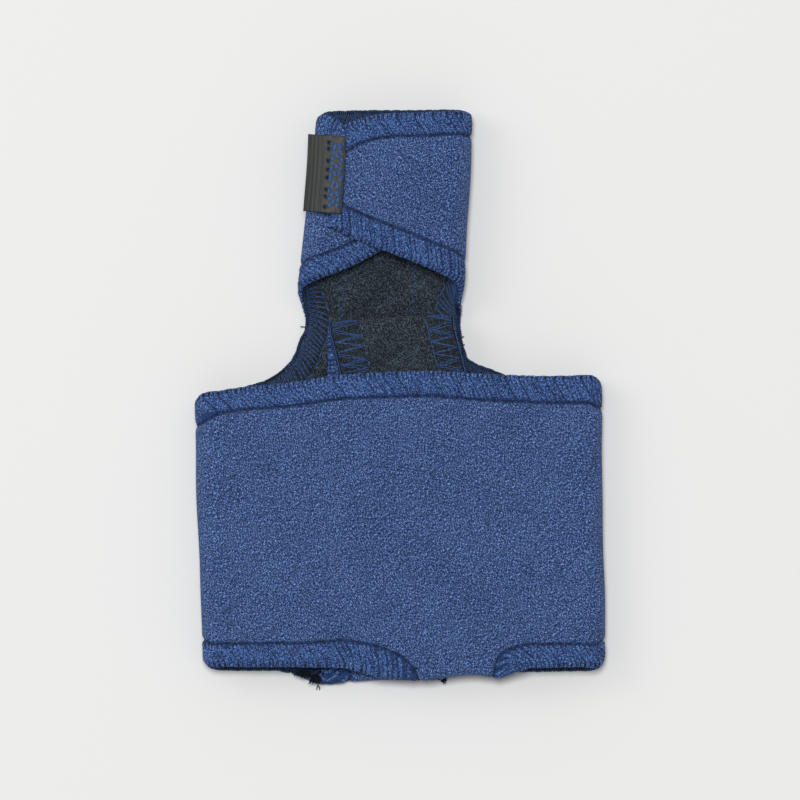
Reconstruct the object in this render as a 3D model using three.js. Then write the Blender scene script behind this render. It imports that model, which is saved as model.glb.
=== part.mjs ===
// A toe corrector: a foot band with a toe loop on a narrow neck and a heel strap, all cut from one
// padded laminate with a terry face and a smooth lining, overlocked round every edge.
// It lies flat on its back panel, as packed: the toe wings are wrapped and held by a hook tab,
// and the heel strap is folded up inside the band.
// Millimetres. +X is to the right, +Y towards the toe, +Z up. The origin is the middle of the base.
import * as THREE from "three";

// Laminate and its overlocked border
const LAMINATE = 2.6; // terry face, foam and lining bonded together
const BORDER_WIDTH = 6.5; // from the cut edge to the needle line
const NEEDLE_DIP = 0.7; // how much thinner the laminate is under the needle line
const NEEDLE_SPREAD = 1.3; // how far to each side the needle line pulls the faces in
const CUT_EDGE = 1.5; // thickness at the cut edge, where the thread squeezes it
const EDGE_ROUND = 1.6; // width over which the edge swells to the full laminate

// Layers that lie on each other
const PLAY = 0.3; // air between layers that touch
const STRAP_SPRING = 1; // how far the strap's fold holds its two runs apart
const FOOT_ROOM = 5.5; // free height over the strap at the band's toe end
const HEEL_ROOM = 1.1; // free height over the strap at the heel end, where its fold pulls the band down
const TOE_ROOM = 6; // free height inside the toe loop

// Foot band
const BAND_WIDTH = 104.5; // across, lying flat
const BAND_LENGTH = 76; // along the foot, at the middle of the front
const BAND_LEAN = 1.7; // how far the band's middle drifts to the right, from its toe end to its heel end
const BACK_OVERHANG = 0.6; // the back panel shows this much beyond the front at the heel end
const CORNER_PULL = 2; // how far the thread draws the edge in where it rounds a fold
const JOIN_DEPTH = 3.5; // the neck joins the back panel this far behind the front's edge

// Neck and toe loop
const NECK_WIDTH = 40.5; // at its narrowest
const NECK_LENGTH = 21.5; // from the band to the root of the wings
const NECK_SHIFT = -3.95; // the neck's middle line, from the band's middle
const FLARE_WIDTH = 14; // how far the neck spreads on each side where it meets the band
const LOOP_LENGTH = 49.3; // from the root of the wings to the loop's far edge
const LOOP_ROOT_WIDTH = 43.6; // loop lying flat, at the root of the wings
const LOOP_END_WIDTH = 39.6; // loop lying flat, at its far edge
const LOOP_LEAN = 3.4; // how far the loop's middle drifts to the right over its length
const CURL_LENGTH = 6.5; // stretch of the neck over which its rims curl up into the wings
const OUTER_WING_REACH = 28.6; // flat stretch of the wing that ends in the hook tab
const INNER_WING_REACH = 23; // flat stretch of the wing that lies under it

// Heel strap
const STRAP_WIDTH = 33;
const STRAP_REACH = 13.6; // how far the folded strap stands out of the band's toe end
const STRAP_FRONT_SHIFT = 12.6; // the strap's middle where it leaves the front, from the band's middle
const STRAP_FOLD_SHIFT = -1.2; // the strap's middle at the fold inside, from the band's middle
const STRAP_BACK_SHIFT = -5; // the strap's middle where it joins the back panel
const STRAP_FOLD_SKEW = 1.8; // how much higher the fold's right end lies than its left end
const STRAP_FLARE = 9; // how far the strap spreads on its left side where it meets the band
const STRAP_FLARE_RIGHT = 1; // the same on its right side
const STRAP_FLARE_LENGTH = 4.8; // how far along the strap the flares reach

// Hook tab
const TAB_LENGTH = 19.8;
const TAB_SEWN_WIDTH = 4.6; // the part that is sewn on the wing
const TAB_FREE_WIDTH = 5.2; // the part that hooks into the terry of the other wing
const TAB_PLATE = 0.8;
const TAB_HOOKS = 0.7; // depth of the hook field under the free part
const TAB_RISE = 1.45; // how far towards the loop's far edge its middle lies from the middle of the tip
const TAB_DROOP = THREE.MathUtils.degToRad(38); // how far the free part bends down over the fold
const TAB_TURN = THREE.MathUtils.degToRad(-3.2); // seen from above
const TAB_RIBS = 4;
const TAB_RIB_HEIGHT = 0.2;
const TAB_RIB_SLOPE = 0.3; // share of a rib's pitch that each of its sides takes

// Front panel's edge at the toe end: across in shares of the half width, drop in shares of its length
const FRONT_TOE_EDGE = [
  { across: -1, drop: 0.078 },
  { across: -0.76, drop: 0.046 },
  { across: -0.53, drop: 0.026 },
  { across: -0.27, drop: 0.006 },
  { across: 0, drop: 0 },
  { across: 0.3, drop: 0.002 },
  { across: 1, drop: 0.012 },
];

// Rims of the neck, from the band up: rise in shares of the neck's length, left and right spread in
// shares of the flare's width
const NECK_RIMS = [
  { rise: 0, left: 0.8, right: 1.05 },
  { rise: 0.07, left: 0.6, right: 0.9 },
  { rise: 0.14, left: 0.46, right: 0.68 },
  { rise: 0.2, left: 0.35, right: 0.4 },
  { rise: 0.28, left: 0.25, right: 0.17 },
  { rise: 0.37, left: 0.17, right: 0.11 },
  { rise: 0.5, left: 0.1, right: 0.06 },
  { rise: 0.65, left: -0.02, right: 0.02 },
  { rise: 0.8, left: -0.04, right: 0 },
  { rise: 1, left: 0.06, right: 0.06 },
];

// Edges of the wings, from the root to the tip: along in shares of the run from the neck's rim,
// low and high in shares of the loop's length above the root
const OUTER_WING_EDGES = [
  { along: 0, low: 0, high: 0.98 },
  { along: 0.09, low: 0.055, high: 0.982 },
  { along: 0.27, low: 0.132, high: 0.982 },
  { along: 0.45, low: 0.19, high: 0.978 },
  { along: 0.62, low: 0.242, high: 0.972 },
  { along: 0.78, low: 0.293, high: 0.952 },
  { along: 0.9, low: 0.335, high: 0.92 },
  { along: 1, low: 0.371, high: 0.87 },
];
const INNER_WING_EDGES = [
  { along: 0, low: 0, high: 0.98 },
  { along: 0.1, low: 0.05, high: 0.978 },
  { along: 0.2, low: 0.08, high: 0.958 },
  { along: 0.3, low: 0.11, high: 0.925 },
  { along: 0.45, low: 0.15, high: 0.875 },
  { along: 0.65, low: 0.215, high: 0.82 },
  { along: 0.83, low: 0.285, high: 0.79 },
  { along: 1, low: 0.36, high: 0.77 },
];

// Mesh fineness
const SIDE_STEPS = 7; // round a fold of the band
const PANEL_STEPS = 14; // across the band's front or back
const LOOP_BEND_STEPS = 6;
const WING_STEPS = 7;
const SOLE_STEPS = 8; // across the bottom of the toe loop
const CURL_STEPS = 2; // across each rim of the neck, where it curls
const NECK_STEPS = 6;
const STRAP_RUN_STEPS = 6;
const STRAP_BEND_STEPS = 6;
const OUTLINE_STEPS = 12; // along a rim or a wing's edge, where distances to it are measured
const CORNER_SHARPNESS = 6; // how closely the pull at a corner keeps to the middle of the fold
const NO_LENGTH = 1e-9; // lengths below this count as none
const LEAST_CURL = 1e-3; // a rim that curls less than this share of the full bend lies flat

// Heights of the middle surfaces
const BACK_LEVEL = LAMINATE / 2;
const LOWER_RUN_LEVEL = BACK_LEVEL + LAMINATE + PLAY;
const UPPER_RUN_LEVEL = LOWER_RUN_LEVEL + LAMINATE + STRAP_SPRING;
const BAND_SIDE_LEVEL = UPPER_RUN_LEVEL + LAMINATE + PLAY;
const TOE_END_LEVEL = UPPER_RUN_LEVEL + LAMINATE + FOOT_ROOM;
const HEEL_END_LEVEL = UPPER_RUN_LEVEL + LAMINATE + HEEL_ROOM;
const INNER_WING_LEVEL = BACK_LEVEL + LAMINATE + TOE_ROOM;
const OUTER_WING_LEVEL = INNER_WING_LEVEL + LAMINATE + PLAY;

// Places along Y, from the middle of the front panel's edge at the toe end
const HEEL_EDGE = -BAND_LENGTH;
const BACK_HEEL_EDGE = HEEL_EDGE - BACK_OVERHANG;
const NECK_JOIN = -JOIN_DEPTH;
const WING_ROOT = NECK_JOIN + NECK_LENGTH;

const { lerp, clamp, smoothstep } = THREE.MathUtils;

// Value of one column of a table at a place between its rows.
function read(table, place, at, column) {
  const after = table.findIndex((row) => row[place] >= at);
  if (after === 0) return table[0][column];
  if (after < 0) return table.at(-1)[column];
  const [low, high] = [table[after - 1], table[after]];
  return lerp(low[column], high[column], (at - low[place]) / (high[place] - low[place]));
}

const steps = (count) => Array.from({ length: count + 1 }, (_, i) => i / count);

// Thickness of the laminate at a distance from its nearest sewn edge.
function thicknessAt(distance) {
  const swell = clamp(distance / EDGE_ROUND, 0, 1);
  const body = lerp(CUT_EDGE, LAMINATE, Math.sin((swell * Math.PI) / 2));
  const offNeedle = Math.abs(distance - BORDER_WIDTH) / NEEDLE_SPREAD;
  return Math.max(body - NEEDLE_DIP * clamp(1 - offNeedle, 0, 1), CUT_EDGE / 2);
}

// Distances from a sewn edge at which a mesh needs a line of points to show the border.
const AT_NEEDLE = [-NEEDLE_SPREAD, 0, NEEDLE_SPREAD].map((aside) => BORDER_WIDTH + aside);
const BORDER_LINES = [0, EDGE_ROUND, ...AT_NEEDLE];

const MOST_BORDER = 0.45; // share of a narrow piece's width that one border may take

// Places across a piece that is sewn along both sides, in shares of its width.
function bordered(width, insideSteps) {
  const room = Math.min(1, (MOST_BORDER * width) / BORDER_LINES.at(-1));
  const near = BORDER_LINES.map((line) => (line * room) / width);
  const last = near.at(-1);
  const inside = steps(insideSteps).slice(1, -1).map((share) => lerp(last, 1 - last, share));
  return [...near, ...inside, ...near.map((share) => 1 - share).reverse()];
}

function distanceToSegments(segments, point) {
  const nearest = new THREE.Vector2();
  let least = Infinity;
  for (const [start, end] of segments) {
    const run = end.clone().sub(start);
    const share = clamp(point.clone().sub(start).dot(run) / Math.max(run.lengthSq(), NO_LENGTH), 0, 1);
    nearest.copy(start).addScaledVector(run, share);
    least = Math.min(least, nearest.distanceTo(point));
  }
  return least;
}

function segmentsThrough(points) {
  return points.slice(1).map((point, i) => [points[i], point]);
}

// A sheet of laminate: points on its middle surface and the four-sided cells between them.
class Sheet {
  constructor() {
    this.points = [];
    this.cells = [];
  }

  // Adds a grid. place(i, j) gives { middle, normal, thickness } or the number of a point that is
  // already there. The numbers of the grid's points come back, column by column.
  grid(columns, rows, place, closed = false) {
    const numbers = columns.map((column, i) =>
      rows.map((row, j) => {
        const made = place(column, row, i, j);
        return typeof made === "number" ? made : this.points.push(made) - 1;
      }),
    );
    const around = closed ? [...numbers, numbers[0]] : numbers;
    for (let i = 0; i + 1 < around.length; i++)
      for (let j = 0; j + 1 < rows.length; j++)
        this.cells.push([around[i][j], around[i + 1][j], around[i + 1][j + 1], around[i][j + 1]]);
    return numbers;
  }

  // The closed solid: an outer and an inner skin, and a wall along each edge that one cell has.
  geometry() {
    const outer = this.points.map((p) => p.middle.clone().addScaledVector(p.normal, p.thickness / 2));
    const inner = this.points.map((p) => p.middle.clone().addScaledVector(p.normal, -p.thickness / 2));
    const count = this.points.length;
    const edges = new Set(this.cells.flatMap((cell) => cell.map((a, k) => `${a},${cell[(k + 1) % 4]}`)));
    const triangles = [];
    for (const [a, b, c, d] of this.cells) {
      triangles.push(a, c, b, a, d, c);
      triangles.push(count + a, count + b, count + c, count + a, count + c, count + d);
    }
    for (const edge of edges) {
      const [a, b] = edge.split(",").map(Number);
      if (!edges.has(`${b},${a}`)) triangles.push(a, count + b, count + a, a, b, count + b);
    }
    const geometry = new THREE.BufferGeometry().setFromPoints([...outer, ...inner]);
    geometry.setIndex(triangles);
    geometry.computeVertexNormals();
    return geometry;
  }
}

// Middle line of the band at a place along Y.
function bandMiddle(y) {
  return (BAND_LEAN * -y) / BAND_LENGTH - BAND_LEAN / 2;
}

const SIDE_RADIUS = (BAND_SIDE_LEVEL - BACK_LEVEL) / 2;
const PANEL_REACH = BAND_WIDTH / 2 - SIDE_RADIUS - LAMINATE / 2; // from the middle to where the folds start

// Height of the front panel's middle surface, and how steeply it climbs towards +X.
function frontLevel(across, y) {
  const towardsToe = smoothstep(y, HEEL_EDGE, 0);
  const rise = lerp(HEEL_END_LEVEL, TOE_END_LEVEL, towardsToe) - BAND_SIDE_LEVEL;
  const angle = (Math.PI / 2) * clamp(across / PANEL_REACH, -1, 1);
  return {
    level: BAND_SIDE_LEVEL + rise * Math.cos(angle) ** 2,
    slope: (-rise * Math.sin(2 * angle) * Math.PI) / (2 * PANEL_REACH),
  };
}

function frontToeEdge(across) {
  return -BAND_LENGTH * read(FRONT_TOE_EDGE, "across", across / (BAND_WIDTH / 2), "drop");
}

// Rims of the neck, measured along X from the neck's middle line.
function neckRim(y, side) {
  const rise = (y - NECK_JOIN) / NECK_LENGTH;
  return NECK_WIDTH / 2 + FLARE_WIDTH * read(NECK_RIMS, "rise", rise, side);
}

// The back panel's edge at the toe end runs level behind the neck, and meets the front at the folds.
function backToeEdge(across) {
  const side = across < NECK_SHIFT ? "left" : "right";
  const joinEnd = Math.abs(NECK_SHIFT + (side === "left" ? -1 : 1) * neckRim(NECK_JOIN, side));
  const share = clamp((Math.abs(across) - joinEnd) / (PANEL_REACH - joinEnd), 0, 1);
  return lerp(NECK_JOIN, frontToeEdge(Math.sign(across) * (BAND_WIDTH / 2)), share);
}

const FLAT_END = BAND_WIDTH; // flat outlines run on past the folds to here

// Sewn edges on the flat back panel, with the rims of the neck and of the strap that leave it.
function backSewnEdges() {
  const rims = [
    [-1, "left"],
    [1, "right"],
  ].flatMap(([sign, side]) => {
    const rim = steps(OUTLINE_STEPS).map((share) => {
      const y = NECK_JOIN + share * NECK_LENGTH;
      return new THREE.Vector2(NECK_SHIFT + sign * neckRim(y, side), y);
    });
    const corner = frontToeEdge((sign * BAND_WIDTH) / 2);
    const outside = [FLAT_END, PANEL_REACH].map((x) => new THREE.Vector2(sign * x, corner));
    return segmentsThrough([...outside, ...rim]);
  });
  return [...rims, ...strapJoinEdges(STRAP_BACK_SHIFT, BACK_HEEL_EDGE)];
}

function frontSewnEdges() {
  const toeEdge = [-FLAT_END, ...FRONT_TOE_EDGE.map((row) => (row.across * BAND_WIDTH) / 2), FLAT_END];
  const toe = segmentsThrough(toeEdge.map((x) => new THREE.Vector2(x, frontToeEdge(x))));
  return [...toe, ...strapJoinEdges(STRAP_FRONT_SHIFT, HEEL_EDGE)];
}

// Edges at the heel end, down into the rims of the strap.
function strapJoinEdges(shift, heelEdge) {
  return [-1, 1].flatMap((sign) => {
    const rim = steps(OUTLINE_STEPS).map((share) => {
      const down = share * STRAP_FLARE_LENGTH;
      return new THREE.Vector2(shift + sign * strapRim(down, sign), heelEdge - down);
    });
    const end = new THREE.Vector2(shift + (sign * STRAP_WIDTH) / 2, heelEdge - BAND_LENGTH);
    return segmentsThrough([new THREE.Vector2(sign * FLAT_END, heelEdge), ...rim, end]);
  });
}

// Rim of the strap, from its middle line, at a distance along it from the band.
function strapRim(down, sign) {
  const flare = sign < 0 ? STRAP_FLARE : STRAP_FLARE_RIGHT;
  const rest = clamp(1 - down / STRAP_FLARE_LENGTH, 0, 1);
  return STRAP_WIDTH / 2 + flare * rest ** 2;
}

// The band is a closed tube. Each column is a place round it: x from the middle line, the turn
// round a fold, and whether it belongs to the front.
function bandColumns() {
  const across = steps(PANEL_STEPS).map((share) => lerp(-1, 1, share));
  const turns = steps(SIDE_STEPS).slice(1, -1).map((share) => share * Math.PI);
  return [
    ...across.map((share) => ({ side: 0, x: share * PANEL_REACH, front: false })),
    ...turns.map((turn) => ({ side: 1, turn })),
    ...[...across].reverse().map((share) => ({ side: 0, x: share * PANEL_REACH, front: true })),
    ...[...turns].reverse().map((turn) => ({ side: -1, turn })),
  ];
}

function bandEdges({ side, x, front, turn }) {
  if (side === 0)
    return front ? [HEEL_EDGE, frontToeEdge(x)] : [BACK_HEEL_EDGE, backToeEdge(x)];
  const pull = CORNER_PULL * Math.sin(turn) ** CORNER_SHARPNESS;
  const heel = lerp(BACK_HEEL_EDGE, HEEL_EDGE, turn / Math.PI);
  const corner = frontToeEdge((side * BAND_WIDTH) / 2);
  const toe = lerp(corner, frontToeEdge(side * PANEL_REACH), turn / Math.PI);
  return [heel + pull, toe - pull];
}

function bandPlace({ side, x, front, turn }, y) {
  const middleLine = bandMiddle(y);
  if (side !== 0) {
    const normal = new THREE.Vector3(side * Math.sin(turn), 0, -Math.cos(turn));
    const centre = new THREE.Vector3(middleLine + side * PANEL_REACH, y, BACK_LEVEL + SIDE_RADIUS);
    return { middle: centre.addScaledVector(normal, SIDE_RADIUS), normal };
  }
  if (!front)
    return {
      middle: new THREE.Vector3(middleLine + x, y, BACK_LEVEL),
      normal: new THREE.Vector3(0, 0, -1),
    };
  const { level, slope } = frontLevel(x, y);
  return {
    middle: new THREE.Vector3(middleLine + x, y, level),
    normal: new THREE.Vector3(-slope, 0, 1).normalize(),
  };
}

function footBand() {
  const sheet = new Sheet();
  const [back, front] = [backSewnEdges(), frontSewnEdges()];
  const rows = bordered(BAND_LENGTH, 5);
  sheet.grid(
    bandColumns(),
    rows,
    (column, share) => {
      const [heel, toe] = bandEdges(column);
      const y = lerp(heel, toe, share);
      const { middle, normal } = bandPlace(column, y);
      const edgewise = Math.min(y - heel, toe - y);
      const edges = column.front ? front : back;
      const distance = column.side ? edgewise : distanceToSegments(edges, new THREE.Vector2(column.x, y));
      return { middle, normal, thickness: thicknessAt(distance) };
    },
    true,
  );
  return sheet.geometry();
}

// Middle line and half width of the toe loop at a height above the root of the wings.
function loopMiddle(y) {
  return bandMiddle(0) + NECK_SHIFT + LOOP_LEAN * clamp((y - WING_ROOT) / LOOP_LENGTH, 0, 1);
}

function loopHalfWidth(y) {
  return lerp(LOOP_ROOT_WIDTH, LOOP_END_WIDTH, clamp((y - WING_ROOT) / LOOP_LENGTH, 0, 1)) / 2;
}

// The right wing lies outside, so its bend is the wider one.
const WINGS = {
  left: { sign: -1, level: INNER_WING_LEVEL, reach: INNER_WING_REACH, edges: INNER_WING_EDGES },
  right: { sign: 1, level: OUTER_WING_LEVEL, reach: OUTER_WING_REACH, edges: OUTER_WING_EDGES },
};
for (const wing of Object.values(WINGS)) wing.radius = (wing.level - BACK_LEVEL) / 2;

const soleReach = (wing, y) => loopHalfWidth(y) - wing.radius - LAMINATE / 2;

// Point of the wrapped strap at a run along it from the middle line: flat, round the bend, then back.
function wrapPlace(wing, run, y) {
  const sole = soleReach(wing, y);
  const curl = smoothstep(y, WING_ROOT - CURL_LENGTH, WING_ROOT);
  const flat = new THREE.Vector3(loopMiddle(y) + wing.sign * run, y, BACK_LEVEL);
  if (run <= sole || curl < LEAST_CURL) return { middle: flat, normal: new THREE.Vector3(0, 0, -1) };
  const radius = wing.radius / curl;
  const turn = Math.min((run - sole) / radius, Math.PI);
  const beyond = Math.max(run - sole - Math.PI * radius, 0);
  const reach = sole + radius * Math.sin(turn) - beyond;
  const lift = radius * (1 - Math.cos(turn));
  return {
    middle: new THREE.Vector3(loopMiddle(y) + wing.sign * reach, y, BACK_LEVEL + lift),
    normal: new THREE.Vector3(wing.sign * Math.sin(turn), 0, -Math.cos(turn)),
  };
}

// Runs from the middle line, at the root: to the neck's rim, to the end of the bend and to the tip.
const rimRun = (side) => neckRim(WING_ROOT, side);
const bendEndRun = (side) => soleReach(WINGS[side], WING_ROOT) + Math.PI * WINGS[side].radius;
const tipRun = (side) => bendEndRun(side) + WINGS[side].reach;

function wingEdge(side, run, column) {
  const along = clamp((run - rimRun(side)) / (tipRun(side) - rimRun(side)), 0, 1);
  return WING_ROOT + LOOP_LENGTH * read(WINGS[side].edges, "along", along, column);
}

// Runs at which the loop gets a column of points, from the middle line to the wing's tip.
function loopRuns(side) {
  const marks = [0, soleReach(WINGS[side], WING_ROOT), rimRun(side), bendEndRun(side), tipRun(side)];
  const counts = [SOLE_STEPS / 2, CURL_STEPS, LOOP_BEND_STEPS, WING_STEPS];
  return [
    0,
    ...counts.flatMap((count, i) => steps(count).slice(1).map((share) => lerp(marks[i], marks[i + 1], share))),
  ];
}

function toeStrapSewnEdges() {
  const at = (side, run, y) => new THREE.Vector2(WINGS[side].sign * run, y);
  const outline = (side) => {
    const rim = steps(OUTLINE_STEPS).map((share) => NECK_JOIN + share * NECK_LENGTH);
    const along = steps(OUTLINE_STEPS).map((share) => lerp(rimRun(side), tipRun(side), share));
    return [
      ...rim.map((y) => at(side, neckRim(y, side), y)),
      ...along.map((run) => at(side, run, wingEdge(side, run, "low"))),
      ...[...along].reverse().map((run) => at(side, run, wingEdge(side, run, "high"))),
      at(side, 0, wingEdge(side, 0, "high")),
    ];
  };
  return [...segmentsThrough(outline("left")), ...segmentsThrough(outline("right"))];
}

function toeStrap() {
  const sheet = new Sheet();
  const edges = toeStrapSewnEdges();
  const place = (side, run, y) => {
    const flat = new THREE.Vector2(WINGS[side].sign * run, y);
    return { ...wrapPlace(WINGS[side], run, y), thickness: thicknessAt(distanceToSegments(edges, flat)) };
  };
  const columns = [
    ...loopRuns("left").slice(1).reverse().map((run) => ({ side: "left", run })),
    ...loopRuns("right").map((run) => ({ side: "right", run })),
  ];
  const loop = sheet.grid(columns, bordered(LOOP_LENGTH, 3), ({ side, run }, share) => {
    const [low, high] = [wingEdge(side, run, "low"), wingEdge(side, run, "high")];
    return place(side, run, lerp(low, high, share));
  });
  const inNeck = columns.map(({ side, run }) => run <= rimRun(side) + 1e-6);
  const first = inNeck.indexOf(true);
  const neckColumns = columns.filter((_, i) => inNeck[i]);
  sheet.grid(neckColumns, steps(NECK_STEPS), ({ side, run }, share, i, j) => {
    if (j === NECK_STEPS) return loop[first + i][0];
    const y = lerp(NECK_JOIN + PLAY, WING_ROOT, share);
    return place(side, (run / rimRun(side)) * neckRim(y, side), y);
  });
  return sheet.geometry();
}

// Half a turn of the strap between two levels, bulging towards +Y or -Y.
function strapBend(across, edge, from, to, towards, share) {
  const turn = share * Math.PI;
  const radius = (from - to) / 2;
  const outward = new THREE.Vector3(0, towards * Math.sin(turn), Math.cos(turn));
  const middle = new THREE.Vector3(across, edge, (from + to) / 2).addScaledVector(outward, radius);
  return { middle, outward };
}

function heelStrap() {
  const sheet = new Sheet();
  const frontX = bandMiddle(HEEL_EDGE) + STRAP_FRONT_SHIFT;
  const foldX = bandMiddle(0) + STRAP_FOLD_SHIFT;
  const backX = bandMiddle(HEEL_EDGE) + STRAP_BACK_SHIFT;
  const foldRadius = (UPPER_RUN_LEVEL - LOWER_RUN_LEVEL) / 2;
  const foldY = STRAP_REACH - foldRadius - LAMINATE / 2;
  const foldAt = (q) => foldY + (q * STRAP_FOLD_SKEW) / 2;
  const rims = (down) => [strapRim(down, -1), strapRim(down, 1)];
  const across = (middle, q, down) => middle + (q < 0 ? q * rims(down)[0] : q * rims(down)[1]);

  const frontBend = (q, share) => {
    const down = share * Math.PI * ((HEEL_END_LEVEL - UPPER_RUN_LEVEL) / 2);
    const x = across(frontX, q, down);
    const { level } = frontLevel(x - bandMiddle(HEEL_EDGE), HEEL_EDGE);
    const bend = strapBend(x, HEEL_EDGE - PLAY, level, UPPER_RUN_LEVEL, -1, share);
    return { middle: bend.middle, normal: bend.outward, rim: rims(down) };
  };
  const upperRun = (q, share) => {
    const down = Math.PI * foldRadius + share * BAND_LENGTH;
    const y = lerp(HEEL_EDGE - PLAY, foldAt(q), share);
    const middle = new THREE.Vector3(across(lerp(frontX, foldX, share), q, down), y, UPPER_RUN_LEVEL);
    return { middle, normal: new THREE.Vector3(0, 0, -1), rim: rims(down) };
  };
  const fold = (q, share) => {
    const x = across(foldX, q, BAND_LENGTH);
    const bend = strapBend(x, foldAt(q), UPPER_RUN_LEVEL, LOWER_RUN_LEVEL, 1, share);
    return { middle: bend.middle, normal: bend.outward.negate(), rim: rims(BAND_LENGTH) };
  };
  const lowerRun = (q, share) => {
    const down = (1 - share) * BAND_LENGTH + Math.PI * BACK_LEVEL;
    const y = lerp(foldAt(q), BACK_HEEL_EDGE - PLAY, share);
    const middle = new THREE.Vector3(across(lerp(foldX, backX, share), q, down), y, LOWER_RUN_LEVEL);
    return { middle, normal: new THREE.Vector3(0, 0, 1), rim: rims(down) };
  };
  const backBend = (q, share) => {
    const down = (1 - share) * Math.PI * ((LOWER_RUN_LEVEL - BACK_LEVEL) / 2);
    const x = across(backX, q, down);
    const bend = strapBend(x, BACK_HEEL_EDGE - PLAY, LOWER_RUN_LEVEL, BACK_LEVEL, -1, share);
    return { middle: bend.middle, normal: bend.outward, rim: rims(down) };
  };

  const bendSteps = steps(STRAP_BEND_STEPS);
  const route = [
    ...bendSteps.map((share) => [frontBend, share]),
    ...steps(STRAP_RUN_STEPS).slice(1).map((share) => [upperRun, share]),
    ...bendSteps.slice(1).map((share) => [fold, share]),
    ...steps(STRAP_RUN_STEPS).slice(1).map((share) => [lowerRun, share]),
    ...bendSteps.slice(1).map((share) => [backBend, share]),
  ];
  const columns = bordered(STRAP_WIDTH, 2).map((share) => lerp(-1, 1, share));
  sheet.grid(columns, route, (q, [stretch, share]) => {
    const { middle, normal, rim } = stretch(q, share);
    const distance = (1 - Math.abs(q)) * (q < 0 ? rim[0] : rim[1]);
    return { middle, normal, thickness: thicknessAt(distance) };
  });
  return sheet.geometry();
}

// Point at a height over the hook tab's underside, at a run from its sewn edge towards its free edge.
function tabPoint(run, height) {
  const radius = TAB_FREE_WIDTH / TAB_DROOP;
  const turn = Math.max(run - TAB_SEWN_WIDTH, 0) / radius;
  const reach = Math.min(run, TAB_SEWN_WIDTH) + (radius + height) * Math.sin(turn);
  return new THREE.Vector2(-reach, (radius + height) * Math.cos(turn) - radius);
}

// Profile of the hook tab across its width: a flat sewn part, then a drooping free part with ribs on
// its back and hooks under it.
function tabProfile() {
  const width = TAB_SEWN_WIDTH + TAB_FREE_WIDTH;
  const free = (share) => lerp(TAB_SEWN_WIDTH, width, share);
  const under = steps(TAB_RIBS).slice(1).map((share) => tabPoint(free(share), -TAB_HOOKS));
  const ribs = steps(TAB_RIBS).slice(1).reverse().flatMap((end) => [
    tabPoint(free(end), TAB_PLATE),
    tabPoint(free(end - TAB_RIB_SLOPE / TAB_RIBS), TAB_PLATE + TAB_RIB_HEIGHT),
    tabPoint(free(end - (1 - TAB_RIB_SLOPE) / TAB_RIBS), TAB_PLATE + TAB_RIB_HEIGHT),
  ]);
  return new THREE.Shape([
    tabPoint(0, TAB_PLATE),
    tabPoint(0, 0),
    tabPoint(TAB_SEWN_WIDTH, 0),
    ...under,
    ...ribs,
    tabPoint(TAB_SEWN_WIDTH, TAB_PLATE),
  ]);
}

function hookTab() {
  const geometry = new THREE.ExtrudeGeometry(tabProfile(), { depth: TAB_LENGTH, bevelEnabled: false });
  geometry.rotateX(Math.PI / 2);
  geometry.translate(0, TAB_LENGTH / 2, 0);
  const tab = new THREE.Mesh(geometry, hookPlastic());
  const tip = tipRun("right");
  const middleY = (wingEdge("right", tip, "low") + wingEdge("right", tip, "high")) / 2 + TAB_RISE;
  const wingTip = wrapPlace(WINGS.right, tip, middleY).middle;
  tab.position.set(wingTip.x + TAB_SEWN_WIDTH, middleY, wingTip.z + LAMINATE / 2 + PLAY);
  tab.rotation.z = TAB_TURN;
  return tab;
}

const laminate = () => new THREE.MeshStandardMaterial({ color: 0x3f5783, roughness: 0.95, metalness: 0 });
const hookPlastic = () => new THREE.MeshStandardMaterial({ color: 0x454846, roughness: 0.55, metalness: 0 });

function named(name, mesh) {
  mesh.name = name;
  return mesh;
}

const corrector = new THREE.Group();
corrector.add(
  named("foot_band", new THREE.Mesh(footBand(), laminate())),
  named("toe_strap", new THREE.Mesh(toeStrap(), laminate())),
  named("heel_strap", new THREE.Mesh(heelStrap(), laminate())),
  named("hook_tab", hookTab()),
);

// Puts the origin at the middle of the base.
const box = new THREE.Box3().setFromObject(corrector);
const centre = box.getCenter(new THREE.Vector3());
corrector.position.set(-centre.x, -centre.y, -box.min.z);

export default corrector;
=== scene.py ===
"""A toe corrector lying flat: a padded foot band with a toe loop on a neck and a heel strap.

All three are cut from one laminate, terry outside and smooth knit inside, and overlocked all round.
"""

import math

import bpy
import numpy as np
from bpy.props import FloatProperty, FloatVectorProperty, IntProperty, PointerProperty
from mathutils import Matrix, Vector


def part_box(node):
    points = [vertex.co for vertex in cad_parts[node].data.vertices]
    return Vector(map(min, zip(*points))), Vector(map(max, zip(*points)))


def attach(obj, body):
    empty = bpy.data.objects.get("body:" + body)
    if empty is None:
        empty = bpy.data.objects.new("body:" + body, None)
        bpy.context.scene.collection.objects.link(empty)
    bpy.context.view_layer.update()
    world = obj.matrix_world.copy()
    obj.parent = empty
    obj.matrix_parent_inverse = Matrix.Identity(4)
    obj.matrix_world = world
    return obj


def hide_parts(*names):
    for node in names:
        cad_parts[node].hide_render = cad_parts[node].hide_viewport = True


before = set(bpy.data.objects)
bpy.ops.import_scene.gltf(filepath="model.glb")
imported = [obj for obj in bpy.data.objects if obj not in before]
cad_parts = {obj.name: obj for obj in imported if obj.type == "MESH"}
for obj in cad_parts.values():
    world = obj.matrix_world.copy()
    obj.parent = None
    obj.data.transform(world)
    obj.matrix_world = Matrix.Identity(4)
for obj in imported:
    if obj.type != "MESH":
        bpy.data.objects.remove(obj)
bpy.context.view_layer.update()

bl_info = {
    "name": "Toe corrector",
    "version": (1, 0, 0),
    "blender": (4, 5, 0),
    "location": "View3D > Sidebar > Toe corrector",
    "description": "Dresses the solids of a toe corrector in terry laminate, overlock thread and hook tape",
    "category": "Object",
}

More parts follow.
